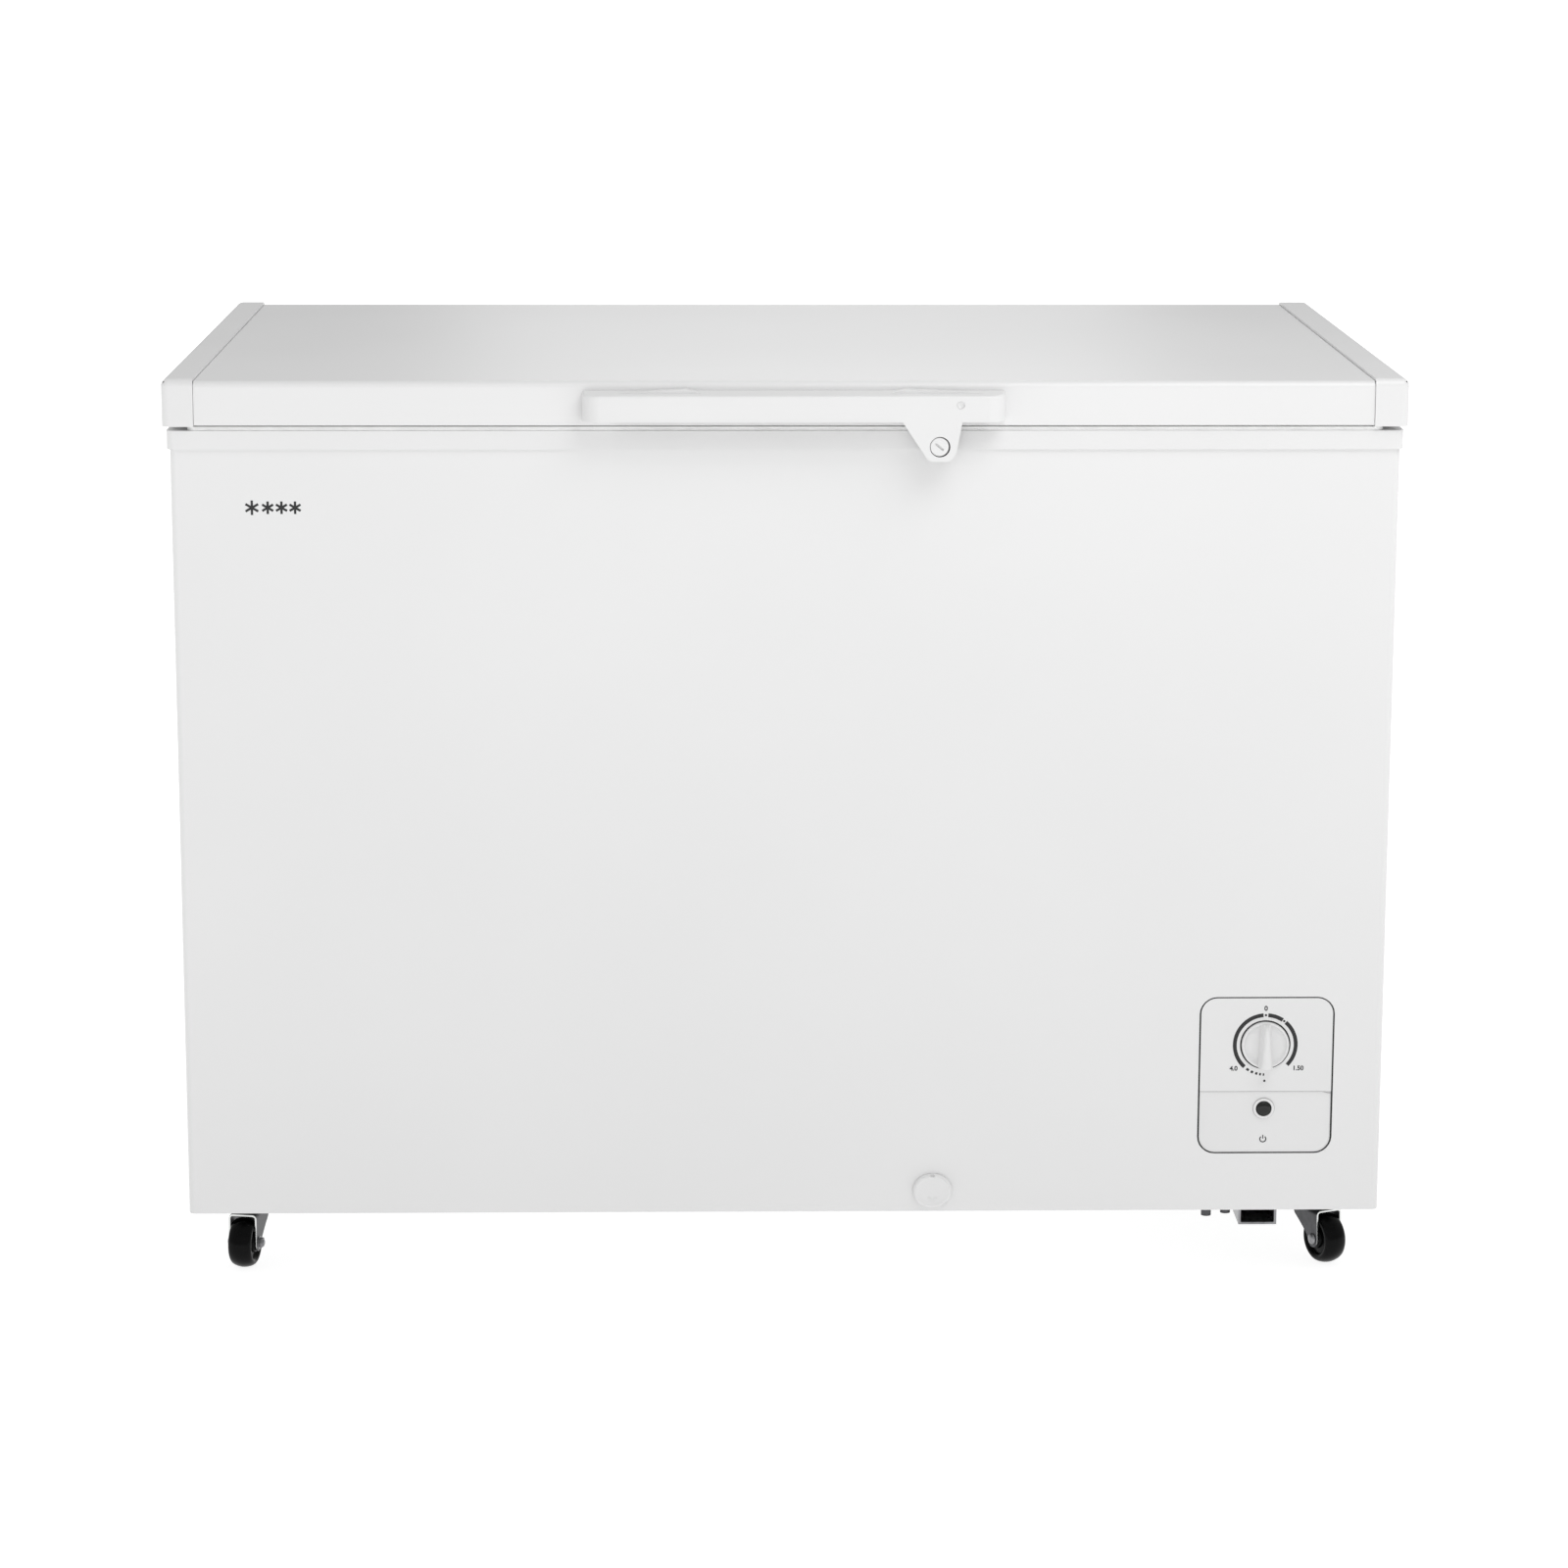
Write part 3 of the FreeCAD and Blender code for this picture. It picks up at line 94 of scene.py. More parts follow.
def room():
    """White light from all sides, stronger overhead than at the horizon."""
    world = bpy.data.worlds.new("studio")
    bpy.context.scene.world = world
    world.use_nodes = True
    nodes, links = world.node_tree.nodes, world.node_tree.links
    place = nodes.new("ShaderNodeTexCoord")
    parts = nodes.new("ShaderNodeSeparateXYZ")
    fade = nodes.new("ShaderNodeMapRange")
    fade.inputs["From Min"].default_value = 0.05
    fade.inputs["From Max"].default_value = 1.0
    fade.inputs["To Min"].default_value = 0.50
    fade.inputs["To Max"].default_value = 0.72
    links.new(place.outputs["Generated"], parts.inputs[0])
    links.new(parts.outputs["Z"], fade.inputs["Value"])
    links.new(fade.outputs[0], nodes["Background"].inputs["Strength"])
    nodes["Background"].inputs["Color"].default_value = (1, 1, 1, 1)


def paper_floor():
    """Pale paper that glows as a light of its own, dimmer near the freezer as painted shade round it."""
    mesh = bpy.data.meshes.new("floor")
    half = 40
    mesh.from_pydata([(-half, -half, 0), (half, -half, 0), (half, half, 0), (-half, half, 0)], [],
                     [(0, 1, 2, 3)])
    floor = bpy.data.objects.new("floor", mesh)
    bpy.context.scene.collection.objects.link(floor)
    paper = surface("glowing_floor_paper", (0.25, 0.25, 0.25), 0.9, grain=0.01, scale=30, bump=0.0)
    nodes, links = paper.node_tree.nodes, paper.node_tree.links
    distance = nodes.new("ShaderNodeVectorMath")
    distance.operation = "LENGTH"
    links.new(nodes["Texture Coordinate"].outputs["Object"], distance.inputs[0])
    # the floor's glow is lower near the freezer: painted shade round it
    glow = nodes.new("ShaderNodeMapRange")
    glow.interpolation_type = "SMOOTHSTEP"
    glow.inputs["From Min"].default_value = 0.5
    glow.inputs["From Max"].default_value = 2.4
    glow.inputs["To Min"].default_value = 0.90
    glow.inputs["To Max"].default_value = 1.20
    links.new(distance.outputs["Value"], glow.inputs["Value"])
    shader = nodes["Principled BSDF"].inputs
    shader["Emission Color"].default_value = (1, 1, 1, 1)
    links.new(glow.outputs[0], shader["Emission Strength"])
    mesh.materials.append(paper)


def studio():
    """The room, two soft boxes and the floor."""
    room()
    area_light("top_front_box", (0.7, -1.2, 2.1), (0, -0.3, 0.65), (1.3, 0.8), 10.5)
    area_light("back_box", (0.1, 3.6, 1.75), (0, 0, 0.8), (1.2, 0.7), 4)
    paper_floor()
    bpy.context.scene.view_settings.view_transform = "Standard"


# ---------------------------------------------------------------- materials
def surface(name, color, rough, metal=0.0, grain=0.03, scale=40, fine=400, bump=0.05, depth=0.0004,
            stretch=(1, 1, 1), rough_spread=0.06, coat=0.0, specular=0.5):
    """A Principled material: cloudy colour and roughness, and a fine bump at its real size."""
    material = bpy.data.materials.new(name)
    material.use_nodes = True
    nodes, links = material.node_tree.nodes, material.node_tree.links
    shader = nodes["Principled BSDF"]
    shader.inputs["Metallic"].default_value = metal
    shader.inputs["Coat Weight"].default_value = coat
    shader.inputs["Specular IOR Level"].default_value = specular
    place = nodes.new("ShaderNodeTexCoord")
    mapping = nodes.new("ShaderNodeMapping")
    mapping.inputs["Scale"].default_value = stretch
    links.new(place.outputs["Object"], mapping.inputs["Vector"])
    cloud = nodes.new("ShaderNodeTexNoise")
    cloud.inputs["Scale"].default_value = scale
    cloud.inputs["Detail"].default_value = 5
    links.new(mapping.outputs[0], cloud.inputs["Vector"])
    ramp = nodes.new("ShaderNodeValToRGB")
    low = [max(0.0, c * (1 - grain)) for c in color]
    high = [min(1.0, c * (1 + grain)) for c in color]
    ramp.color_ramp.elements[0].position = 0.3
    ramp.color_ramp.elements[1].position = 0.7
    ramp.color_ramp.elements[0].color = (*low, 1)
    ramp.color_ramp.elements[1].color = (*high, 1)
    links.new(cloud.outputs["Fac"], ramp.inputs["Fac"])
    links.new(ramp.outputs["Color"], shader.inputs["Base Color"])
    spread = nodes.new("ShaderNodeMapRange")
    spread.inputs["To Min"].default_value = max(0.02, rough - rough_spread)
    spread.inputs["To Max"].default_value = min(1.0, rough + rough_spread)
    links.new(cloud.outputs["Fac"], spread.inputs["Value"])
    links.new(spread.outputs[0], shader.inputs["Roughness"])
    if bump:
        peel = nodes.new("ShaderNodeTexNoise")
        peel.inputs["Scale"].default_value = fine
        peel.inputs["Detail"].default_value = 2
        links.new(mapping.outputs[0], peel.inputs["Vector"])
        raised = nodes.new("ShaderNodeBump")
        raised.inputs["Strength"].default_value = bump
        raised.inputs["Distance"].default_value = depth
        links.new(peel.outputs["Fac"], raised.inputs["Height"])
        links.new(raised.outputs[0], shader.inputs["Normal"])
    return material


def stucco(name, color, rough):
    """Embossed aluminium of the tank: raised cells about 6 mm across."""
    material = surface(name, color, rough, metal=0.65, grain=0.03, scale=12, bump=0)
    nodes, links = material.node_tree.nodes, material.node_tree.links
    mapping = next(n for n in nodes if n.type == "MAPPING")
    cells = nodes.new("ShaderNodeTexVoronoi")
    cells.feature = "SMOOTH_F1"
    cells.inputs["Scale"].default_value = 170
    links.new(mapping.outputs[0], cells.inputs["Vector"])
    raised = nodes.new("ShaderNodeBump")
    raised.inputs["Strength"].default_value = 0.35
    raised.inputs["Distance"].default_value = 0.0006
    links.new(cells.outputs["Distance"], raised.inputs["Height"])
    links.new(raised.outputs[0], nodes["Principled BSDF"].inputs["Normal"])
    return material


WHITE = (0.785, 0.785, 0.785)
MATERIALS = {
    "white_enamel": surface("white_enamel", WHITE, 0.38, grain=0.012, scale=3, fine=380, bump=0.06,
                            depth=0.0003, coat=0.15),
    "white_plastic": surface("white_plastic", (0.775, 0.775, 0.775), 0.34, grain=0.012, scale=8,
                             fine=1500, bump=0.08, depth=0.0001),
    "inner_plastic": surface("inner_plastic", (0.80, 0.81, 0.81), 0.30, grain=0.02, scale=10,
                             fine=600, bump=0.05, depth=0.0002),
    "liner_metal": stucco("liner_metal", (0.80, 0.81, 0.82), 0.42),
    "zinc_steel": surface("zinc_steel", (0.50, 0.51, 0.50), 0.36, metal=0.95, grain=0.08, scale=160,
                          fine=700, bump=0.10, depth=0.0002, rough_spread=0.06),
    "black_steel": surface("black_steel", (0.018, 0.018, 0.019), 0.34, grain=0.3, scale=60,
                           fine=500, bump=0.12, depth=0.0003),
    "copper": surface("copper", (0.72, 0.36, 0.22), 0.30, metal=1.0, grain=0.16, scale=50,
                      fine=300, bump=0.08, depth=0.0002, rough_spread=0.12),
    "insulation": surface("insulation", (0.83, 0.73, 0.45), 0.95, grain=0.10, scale=45, fine=260,
                          bump=0.6, depth=0.0015, specular=0.2),
    "black_plastic": surface("black_plastic", (0.022, 0.022, 0.023), 0.5, grain=0.2, scale=90,
                             fine=1400, bump=0.25, depth=0.0002),
    "tread_black": surface("tread_black", (0.002, 0.002, 0.0021), 0.24, grain=0.3, scale=120,
                           fine=500, bump=0.05, depth=0.0003, rough_spread=0.06, specular=0.10),
    "seal_rubber": surface("seal_rubber", (0.88, 0.885, 0.88), 0.5, grain=0.05, scale=60,
                           fine=700, bump=0.15, depth=0.0002),
    "grommet_rubber": surface("grommet_rubber", (0.03, 0.03, 0.03), 0.7, grain=0.3, scale=120,
                              fine=900, bump=0.2, depth=0.0003),
    "lens_dark": surface("lens_dark", (0.012, 0.013, 0.0125), 0.14, grain=0.12, scale=300, fine=500,
                         bump=0.02, depth=0.0001, specular=0.35),
    "basket_wire": surface("basket_wire", (0.82, 0.82, 0.82), 0.28, grain=0.03, scale=60, fine=500,
                           bump=0.12, depth=0.0003, coat=0.3),
}
PRINT = surface("printed_ink", (0.012, 0.012, 0.013), 0.5, grain=0.25, scale=900, fine=3000,
                bump=0.05, depth=0.00002)
DULL_STEEL = surface("dull_steel", (0.085, 0.085, 0.09), 0.42, metal=0.75, grain=0.30, scale=110,
                     fine=700, bump=0.15, depth=0.0002, rough_spread=0.12)
# bright steel used as a painted highlight on the front edges of the caster forks
PAINTED_HIGHLIGHT_STEEL = surface("painted_highlight_steel", (0.72, 0.73, 0.72), 0.20, metal=1.0, grain=0.08, scale=160,
                       fine=900, bump=0.06, depth=0.0001, rough_spread=0.08)
BOLT_STEEL = surface("bolt_steel", (0.27, 0.27, 0.28), 0.30, metal=0.9, grain=0.2, scale=160,
                     fine=900, bump=0.08, depth=0.0001, rough_spread=0.08)
# mid grey used as painted shade along the lamp's ring and the panel's step
PAINTED_LINE_SHADE = surface("painted_line_shade", (0.46, 0.46, 0.46), 0.6, grain=0.08, scale=300, fine=2000, bump=0.1,
                    depth=0.00005)
# near-black used as painted shade in the gaps round the panel, the knob and the lock
PAINTED_GAP_SHADE = surface("painted_gap_shade", (0.014, 0.014, 0.015), 0.8, grain=0.2, scale=500, fine=2500,
                      bump=0.2, depth=0.0001)


# CAD nodes given a darker steel than their slot's
DARKER_STEEL_NODES = {
    "rail_studs": DULL_STEEL,
    "caster_mounts": DULL_STEEL,
    "compressor_rail": BOLT_STEEL,
}


def dress_nodes():
    """Gives each CAD node the material of its slot in the record; the nodes listed above get a darker, duller
    steel instead.
    """
    slots = {entry["node"]: entry["material_slot"] for entry in frame["record"]["subparts"]}
    for name, item in frame["nodes"].items():
        material = MATERIALS[slots[name]]
        if not item.material_slots:
            item.data.materials.append(material)
        for place in item.material_slots:
            place.material = DARKER_STEEL_NODES.get(name, material)


# ---------------------------------------------------------------- ways to make a mesh
CREASE = 35     # degrees; sharper edges than this are drawn sharp


def facing(x, y, z):
    """Millimetres to metres for a piece on the front: u is right, v up and w out towards the front."""
    return Matrix(((MM, 0, 0, x * MM), (0, 0, -MM, y * MM), (0, MM, 0, z * MM), (0, 0, 0, 1)))


def standing(x, y, z, turn=0.0):
    """Millimetres to metres for a piece in the cabinet's own directions, turned about the vertical."""
    return Matrix.Translation((x * MM, y * MM, z * MM)) @ Matrix.Rotation(turn, 4, "Z") @ \
        Matrix.Diagonal((MM, MM, MM, 1))


def make(name, shape, place, material, body, stands_for=(), bevel=0.0, crease=CREASE):
    """One piece from (points, faces) in millimetres, put in place; it rides on body, if one is named."""
    points, faces = shape
    mesh = bpy.data.meshes.new(name)
    mesh.from_pydata([place @ Vector(point) for point in points], [], faces)
    shaper = bmesh.new()
    shaper.from_mesh(mesh)
    bmesh.ops.remove_doubles(shaper, verts=shaper.verts, dist=2e-6)
    bmesh.ops.recalc_face_normals(shaper, faces=shaper.faces)
    shaper.to_mesh(mesh)
    shaper.free()
    mesh.shade_smooth()
    mesh.set_sharp_from_angle(angle=math.radians(crease))
    item = bpy.data.objects.new(name, mesh)
    bpy.context.scene.collection.objects.link(item)
    mesh.materials.append(material)
    if bevel:
        soften(item, bevel, weld=False)
    if body:
        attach(item, body)
    if stands_for:
        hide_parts(*stands_for)
    return item


def soften(item, width, weld=True, angle=40):
    """Small rounded edges, width in millimetres: split corners are welded, then sharp edges bevelled."""
    if weld:
        joint = item.modifiers.new("weld", "WELD")
        joint.merge_threshold = 1e-5
    edge = item.modifiers.new("edges", "BEVEL")
    edge.width = width * MM
    edge.segments = 2
    edge.limit_method = "ANGLE"
    edge.angle_limit = math.radians(angle)
    edge.miter_outer = "MITER_ARC"
    shade = item.modifiers.new("shade", "WEIGHTED_NORMAL")
    shade.keep_sharp = False
    shade.weight = 80


def joined(*shapes):
    """Several (points, faces) as one."""
    points, faces = [], []
    for new_points, new_faces in shapes:
        faces += [tuple(i + len(points) for i in face) for face in new_faces]
        points += list(new_points)
    return points, faces


def moved(shape, matrix):
    """The shape after a move or turn."""
    return [tuple(matrix @ Vector(point)) for point in shape[0]], shape[1]


def spun(profile, steps=48):
    """A profile of (radius, height) turned about the third axis; a radius of 0 closes it."""
    points, rows, faces = [], [], []
    for radius, height in profile:
        if radius == 0:
            rows.append([len(points)] * steps)
            points.append((0, 0, height))
            continue
        rows.append(list(range(len(points), len(points) + steps)))
        for i in range(steps):
            angle = math.tau * i / steps
            points.append((radius * math.cos(angle), radius * math.sin(angle), height))
    for low, high in zip(rows, rows[1:]):
        for i in range(steps):
            corner = (low[i], low[(i + 1) % steps], high[(i + 1) % steps], high[i])
            face = tuple(dict.fromkeys(corner))
            if len(face) > 2:
                faces.append(face)
    return points, faces


def skin(rows, ring=True, ends=False):
    """Faces over rows of points of equal length; ring closes each row on itself."""
    count = len(rows[0])
    points = [point for row in rows for point in row]
    faces = []
    for j in range(len(rows) - 1):
        for i in range(count if ring else count - 1):
            k = (i + 1) % count
            faces.append((j * count + i, j * count + k, (j + 1) * count + k, (j + 1) * count + i))
    if ends:
        faces.append(tuple(range(count)))
        faces.append(tuple(range((len(rows) - 1) * count, len(rows) * count)))
    return points, faces


def slab(outline, low, high):
    """A flat plate: an outline (u, v) between two heights."""
    return skin([[(u, v, low) for u, v in outline], [(u, v, high) for u, v in outline]], ends=True)


def rounded_box(half_u, half_v, radius, steps=6):
    """The outline of a rectangle with rounded corners, centred on the origin."""
    outline = []
    for number, (a, b) in enumerate(((1, 1), (-1, 1), (-1, -1), (1, -1))):
        for i in range(steps + 1):
            angle = math.pi / 2 * (number + i / steps)
            outline.append((a * (half_u - radius) + radius * math.cos(angle),
                            b * (half_v - radius) + radius * math.sin(angle)))
    return outline


def arc_band(inner, outer, start, end, low, high):
    """A curved bar between two radii; angles are clockwise degrees from the top."""
    steps = max(2, int(abs(end - start) / 3))
    rows = []
    for i in range(steps + 1):
        angle = math.radians(start + (end - start) * i / steps)
        u, v = math.sin(angle), math.cos(angle)
        rows.append([(inner * u, inner * v, low), (outer * u, outer * v, low),
                     (outer * u, outer * v, high), (inner * u, inner * v, high)])
    return skin(rows, ends=True)


def bar(start, end, width, low, high):
    """A straight flat bar from one (u, v) to another."""
    along = Vector((end[0] - start[0], end[1] - start[1])).normalized() * width / 2
    side = Vector((-along.y, along.x))
    return slab([(start[0] + side.x, start[1] + side.y), (start[0] - side.x, start[1] - side.y),
                 (end[0] - side.x, end[1] - side.y), (end[0] + side.x, end[1] + side.y)], low, high)


def rounded_path(corners, bend, closed=False, steps=5):
    """Points along straight runs whose corners are rounded."""
    corners = [Vector(corner) for corner in corners]
    count = len(corners)
    path = []
    for i, corner in enumerate(corners):
        if not closed and i in (0, count - 1):
            path.append(corner)
            continue
        back = (corners[i - 1] - corner).normalized()
        on = (corners[(i + 1) % count] - corner).normalized()
        for j in range(steps + 1):
            share = j / steps
            path.append(corner + back * bend * (1 - share) ** 2 + on * bend * share ** 2)
    return path


def wire(path, radius, closed=False, sides=10):
    """A round wire along a path."""
    count = len(path)
    rows = []
    side = None
    for i, point in enumerate(path):
        after = path[(i + 1) % count] if closed or i < count - 1 else point
        before = path[i - 1] if closed or i > 0 else point
        heading = (after - before).normalized()
        if side is None:
            side = heading.orthogonal().normalized()
        side = (side - heading * side.dot(heading)).normalized()
        other = heading.cross(side)
        rows.append([tuple(point + (side * math.cos(a) + other * math.sin(a)) * radius)
                     for a in (math.tau * k / sides for k in range(sides))])
    points, faces = skin(rows, ends=not closed)
    if closed:
        # the last row may come round turned by part of a circle, so it meets its nearest points
        last = (count - 1) * sides
        first_points = [Vector(p) for p in rows[0]]
        shift = min(range(sides), key=lambda k: (Vector(rows[-1][0]) - first_points[k]).length)
        for k in range(sides):
            faces.append((last + k, last + (k + 1) % sides, (k + 1 + shift) % sides,
                          (k + shift) % sides))
    return points, faces


def carve(item, *cutters):
    """Takes closed shapes, given in metres, out of a piece's mesh."""
    made = []
    for points, faces in cutters:
        mesh = bpy.data.meshes.new("cutter")
        mesh.from_pydata(points, [], faces)
        cutter = bpy.data.objects.new("cutter", mesh)
        bpy.context.scene.collection.objects.link(cutter)
        tool = item.modifiers.new("carve", "BOOLEAN")
        tool.object = cutter
        tool.solver = "EXACT"
        made.append(cutter)
    kept = item.evaluated_get(bpy.context.evaluated_depsgraph_get())
    mesh = bpy.data.meshes.new_from_object(kept)
    item.modifiers.clear()
    item.data = mesh
    mesh.set_sharp_from_angle(angle=math.radians(CREASE))
    for cutter in made:
        bpy.data.objects.remove(cutter)


# ---------------------------------------------------------------- the CAD's measures, in millimetres
def span(node):
    """The lowest and highest corners of a CAD node, in millimetres."""
    low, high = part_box(node)
    return Vector(low) / MM, Vector(high) / MM


def middle(node):
    """The centre of a CAD node's box, in millimetres."""
    low, high = span(node)
    return (low + high) / 2


PANEL_LOW, PANEL_HIGH = span("control_panel")
PANEL = middle("control_panel")
FRONT = span("outer_shell")[0].y
UPPER_FACE = FRONT - 0.2    # the panel's face round the knob, proud of the cabinet's front
LOWER_FACE = FRONT + 0.5    # the panel's face round the lamp
KNOB = middle("temperature_knob")
LAMP = middle("lamp_lens")
PLUG = middle("drain_plug")
LOCK = middle("lock_cylinder")
INK_LOW, INK_HIGH = -0.02, 0.1


# ---------------------------------------------------------------- control panel
def gap_round_panel():
    """Painted shade: a near-black sheet in the gap between the panel and the sheet's window."""
    # the node's own outline is its hidden back plate, larger all round than the face
    plate, play, corner = 6, 0.02, 15
    half_u = (PANEL_HIGH.x - PANEL_LOW.x) / 2 - plate + play
    half_v = (PANEL_HIGH.z - PANEL_LOW.z) / 2 - plate + play
    # the painted shade is wider at the sides than above and below
    side_gap, top_gap = 1.55, 0.78
    deep, flush = -0.9, 0.04
    rows = []
    for grow, height in ((0, deep), (1, deep), (1, flush), (0, flush), (0, deep)):
        outline = rounded_box(half_u + side_gap * grow, half_v + top_gap * grow, corner + grow)
        rows.append([(u, v, height) for u, v in outline])
    make("panel_painted_gap_shade", skin(rows), facing(PANEL.x, FRONT, PANEL.z), PAINTED_GAP_SHADE, "cabinet")


def dial_print():
    """Printed scale round the knob: a broad band, dashes, a dot and numbers."""
    place = facing(KNOB.x, UPPER_FACE, KNOB.z)
    band_inner, band_outer = 26.5, 30.1
    dash_inner, dash_outer = 27.4, 29.7
    bands = [arc_band(band_inner, band_outer, start, end, INK_LOW, INK_HIGH)
             for start, end in ((4.5, 33.5), (41, 133), (-138, -4.5))]
    dashes = [arc_band(dash_inner, dash_outer, start, start + size, INK_LOW, INK_HIGH)
              for start, size in ((-149, 5.4), (-158, 4.8), (-166.5, 4.2), (-173.4, 3.4), (-179.4, 2.6))]
    dot = spun([(0, INK_LOW), (1.1, INK_LOW), (1.1, INK_HIGH), (0, INK_HIGH)], 12)
    dots = []
    for radius, degrees in ((28.3, 0), (28.3, 37), (34.6, 180)):
        angle = math.radians(degrees)
        spot = (radius * math.sin(angle), radius * math.cos(angle), 0)
        dots.append(moved(dot, Matrix.Translation(spot)))
    make("dial_scale", joined(*bands, *dashes, *dots), place, PRINT, "cabinet")
    for name, word, u, v, size in (("dial_number_top", "0", 0, 34.6, 6.4),
                                   ("dial_number_left", "4.0", -28.9, -22.8, 6.0),
                                   ("dial_number_right", "1.50", 31.0, -22.6, 6.0)):
        lettering(name, word, place @ Matrix.Translation((u, v, 0)), size)


def lettering(name, word, place, size):
    """A printed number, centred on its place; the strokes are made a little bolder than the font's."""
    curve = bpy.data.curves.new(name, "FONT")
    curve.body = word
    curve.size = size
    curve.align_x = "CENTER"
    curve.align_y = "CENTER"
    curve.extrude = INK_HIGH / 2
    curve.offset = 0.18
    writer = bpy.data.objects.new(name + "_writer", curve)
    bpy.context.scene.collection.objects.link(writer)
    mesh = bpy.data.meshes.new_from_object(
        writer.evaluated_get(bpy.context.evaluated_depsgraph_get()))
    shape = ([tuple(v.co + Vector((0, 0, INK_HIGH / 2))) for v in mesh.vertices],
             [tuple(face.vertices) for face in mesh.polygons])
    bpy.data.objects.remove(writer)
    make(name, shape, place, PRINT, "cabinet")


def panel_symbols():
    """A power symbol under the lamp, and a four-star frost symbol high on the cabinet's left."""
    power_z = 139.6
    frost_x, frost_z, stroke = -461.8, 733.2, 2.1
    # each spoke lies a hair above the last, so that no two faces share a plane
    layer = 0.004
    power = [arc_band(2.3, 3.3, 38, 322, INK_LOW, INK_HIGH),
             bar((0, 0.4), (0, 3.9), 0.9, INK_LOW, INK_HIGH)]
    make("power_symbol", joined(*power), facing(KNOB.x, LOWER_FACE, power_z), PRINT, "cabinet")
    stars = []
    for u, reach in ((-19.2, 6.6), (-5.0, 5.7), (7.4, 5.7), (19.6, 5.7)):
        for number in range(3):
            angle = math.radians(30 + 60 * number)
            tip = (reach * math.cos(angle), reach * math.sin(angle))
            spoke = bar((-tip[0], -tip[1]), tip, stroke, INK_LOW, INK_HIGH)
            stars.append(moved(spoke, Matrix.Translation((u, 0, number * layer))))
    make("frost_symbol", joined(*stars), facing(frost_x, FRONT, frost_z), PRINT, "cabinet")


def knob_grip():
    """The raised bar across the knob: it widens and its crest broadens towards the lower end."""
    steps, top, length, tallest, foot = 22, 20.2, 41.0, 13.9, 0.6
    rows = []
    for i in range(steps + 1):
        share = i / steps
        v = top - share * length
        base = 4.6 + 2.6 * share ** 1.3
        crest = 1.3 + 1.6 * share
        # it rises quickly from the upper end, and drops a little at the lower one
        height = tallest * min(1.0, (math.sin(math.pi * min(0.5, share * 3.2 + 0.12))) ** 0.5)
        height *= 1.0 - 0.10 * max(0.0, share - 0.9) / 0.1
        flank = [(-base, foot), (-base * 0.93, height * 0.35), (-crest * 1.7, height * 0.82),
                 (-crest, height * 0.97), (0, height), (crest, height * 0.97),
                 (crest * 2.0, height * 0.80), (base * 0.97, height * 0.35), (base, foot)]
        rows.append([(u, v, w) for u, w in flank])
    points, faces = skin(rows, ring=False)
    count = len(rows[0])
    faces.append(tuple(range(count)))
    faces.append(tuple(range(steps * count, (steps + 1) * count)))
    return points, faces


def knob():
    """Round knob with a raised rim, a dished face and a grip, over a ring of painted shade in the panel's groove.
    """
    place = facing(KNOB.x, FRONT, KNOB.z)
    turns = 96
    disc = spun([(0, -14.8), (3, -14.8), (3, -1.2), (21.6, -1.2), (21.9, -0.9), (21.9, 2.7),
                 (21.5, 3.3), (20.8, 3.5), (20.1, 3.3), (19.4, 2.2), (18.2, 1.2), (14, 0.8),
                 (0, 0.8)], turns)
    make("knob_turned_face", disc, place, MATERIALS["white_plastic"], "knob",
         stands_for=["temperature_knob"])
    item = make("knob_grip", knob_grip(), place, MATERIALS["white_plastic"], "knob",
                stands_for=["temperature_knob"], crease=50)
    soften(item, 0.7, weld=False, angle=50)
    # a dark ring at the bottom of the knob's groove is painted shade
    inner, outer, deep, shallow = 22.1, 23.6, -1.55, -0.3
    angles = [math.tau * k / turns for k in range(turns)]
    section = ((inner, deep), (outer, deep), (outer, shallow), (inner, shallow), (inner, deep))
    rows = [[(radius * math.sin(a), radius * math.cos(a), height) for a in angles]
            for radius, height in section]
    make("dial_groove_painted_shade", skin(rows), place, PAINTED_GAP_SHADE, "cabinet")


def lamp():
    """Dark domed lens of the running lamp, a thin ring of painted shade round its ring, and painted shade along
    the panel's step.
    """
    dome = spun([(0, 2.15), (2.0, 2.08), (4.0, 1.8), (5.6, 1.3), (6.7, 0.55), (7.15, -0.3),
                 (7.25, -1.2), (7.25, -4.8), (0, -4.8)], 64)
    make("lamp_dome", dome, facing(LAMP.x, FRONT, LAMP.z), MATERIALS["lens_dark"], "cabinet",
         stands_for=["lamp_lens"])
    # painted shade: a thin grey ring round the lamp's raised ring
    rim = arc_band(9.75, 10.15, 0, 360, INK_LOW, 0.3)
    make("lamp_ring_painted_shade", rim, facing(LAMP.x, LOWER_FACE, LAMP.z), PAINTED_LINE_SHADE, "cabinet")
    # painted shade along the step: it runs level and dips at its right end; its three bars overlap
    step_z, width, deep, proud = 185.7, 0.55, -0.8, 0.06
    bends = (((-61.0, 0), (52.0, 0)), ((51.8, 0), (58.5, -1.6)), ((58.3, -1.6), (61.0, -2.0)))
    step = joined(*[bar(start, end, width, deep, proud) for start, end in bends])
    make("panel_step_painted_shade", step, facing(PANEL.x, UPPER_FACE, step_z), PAINTED_LINE_SHADE, "cabinet")


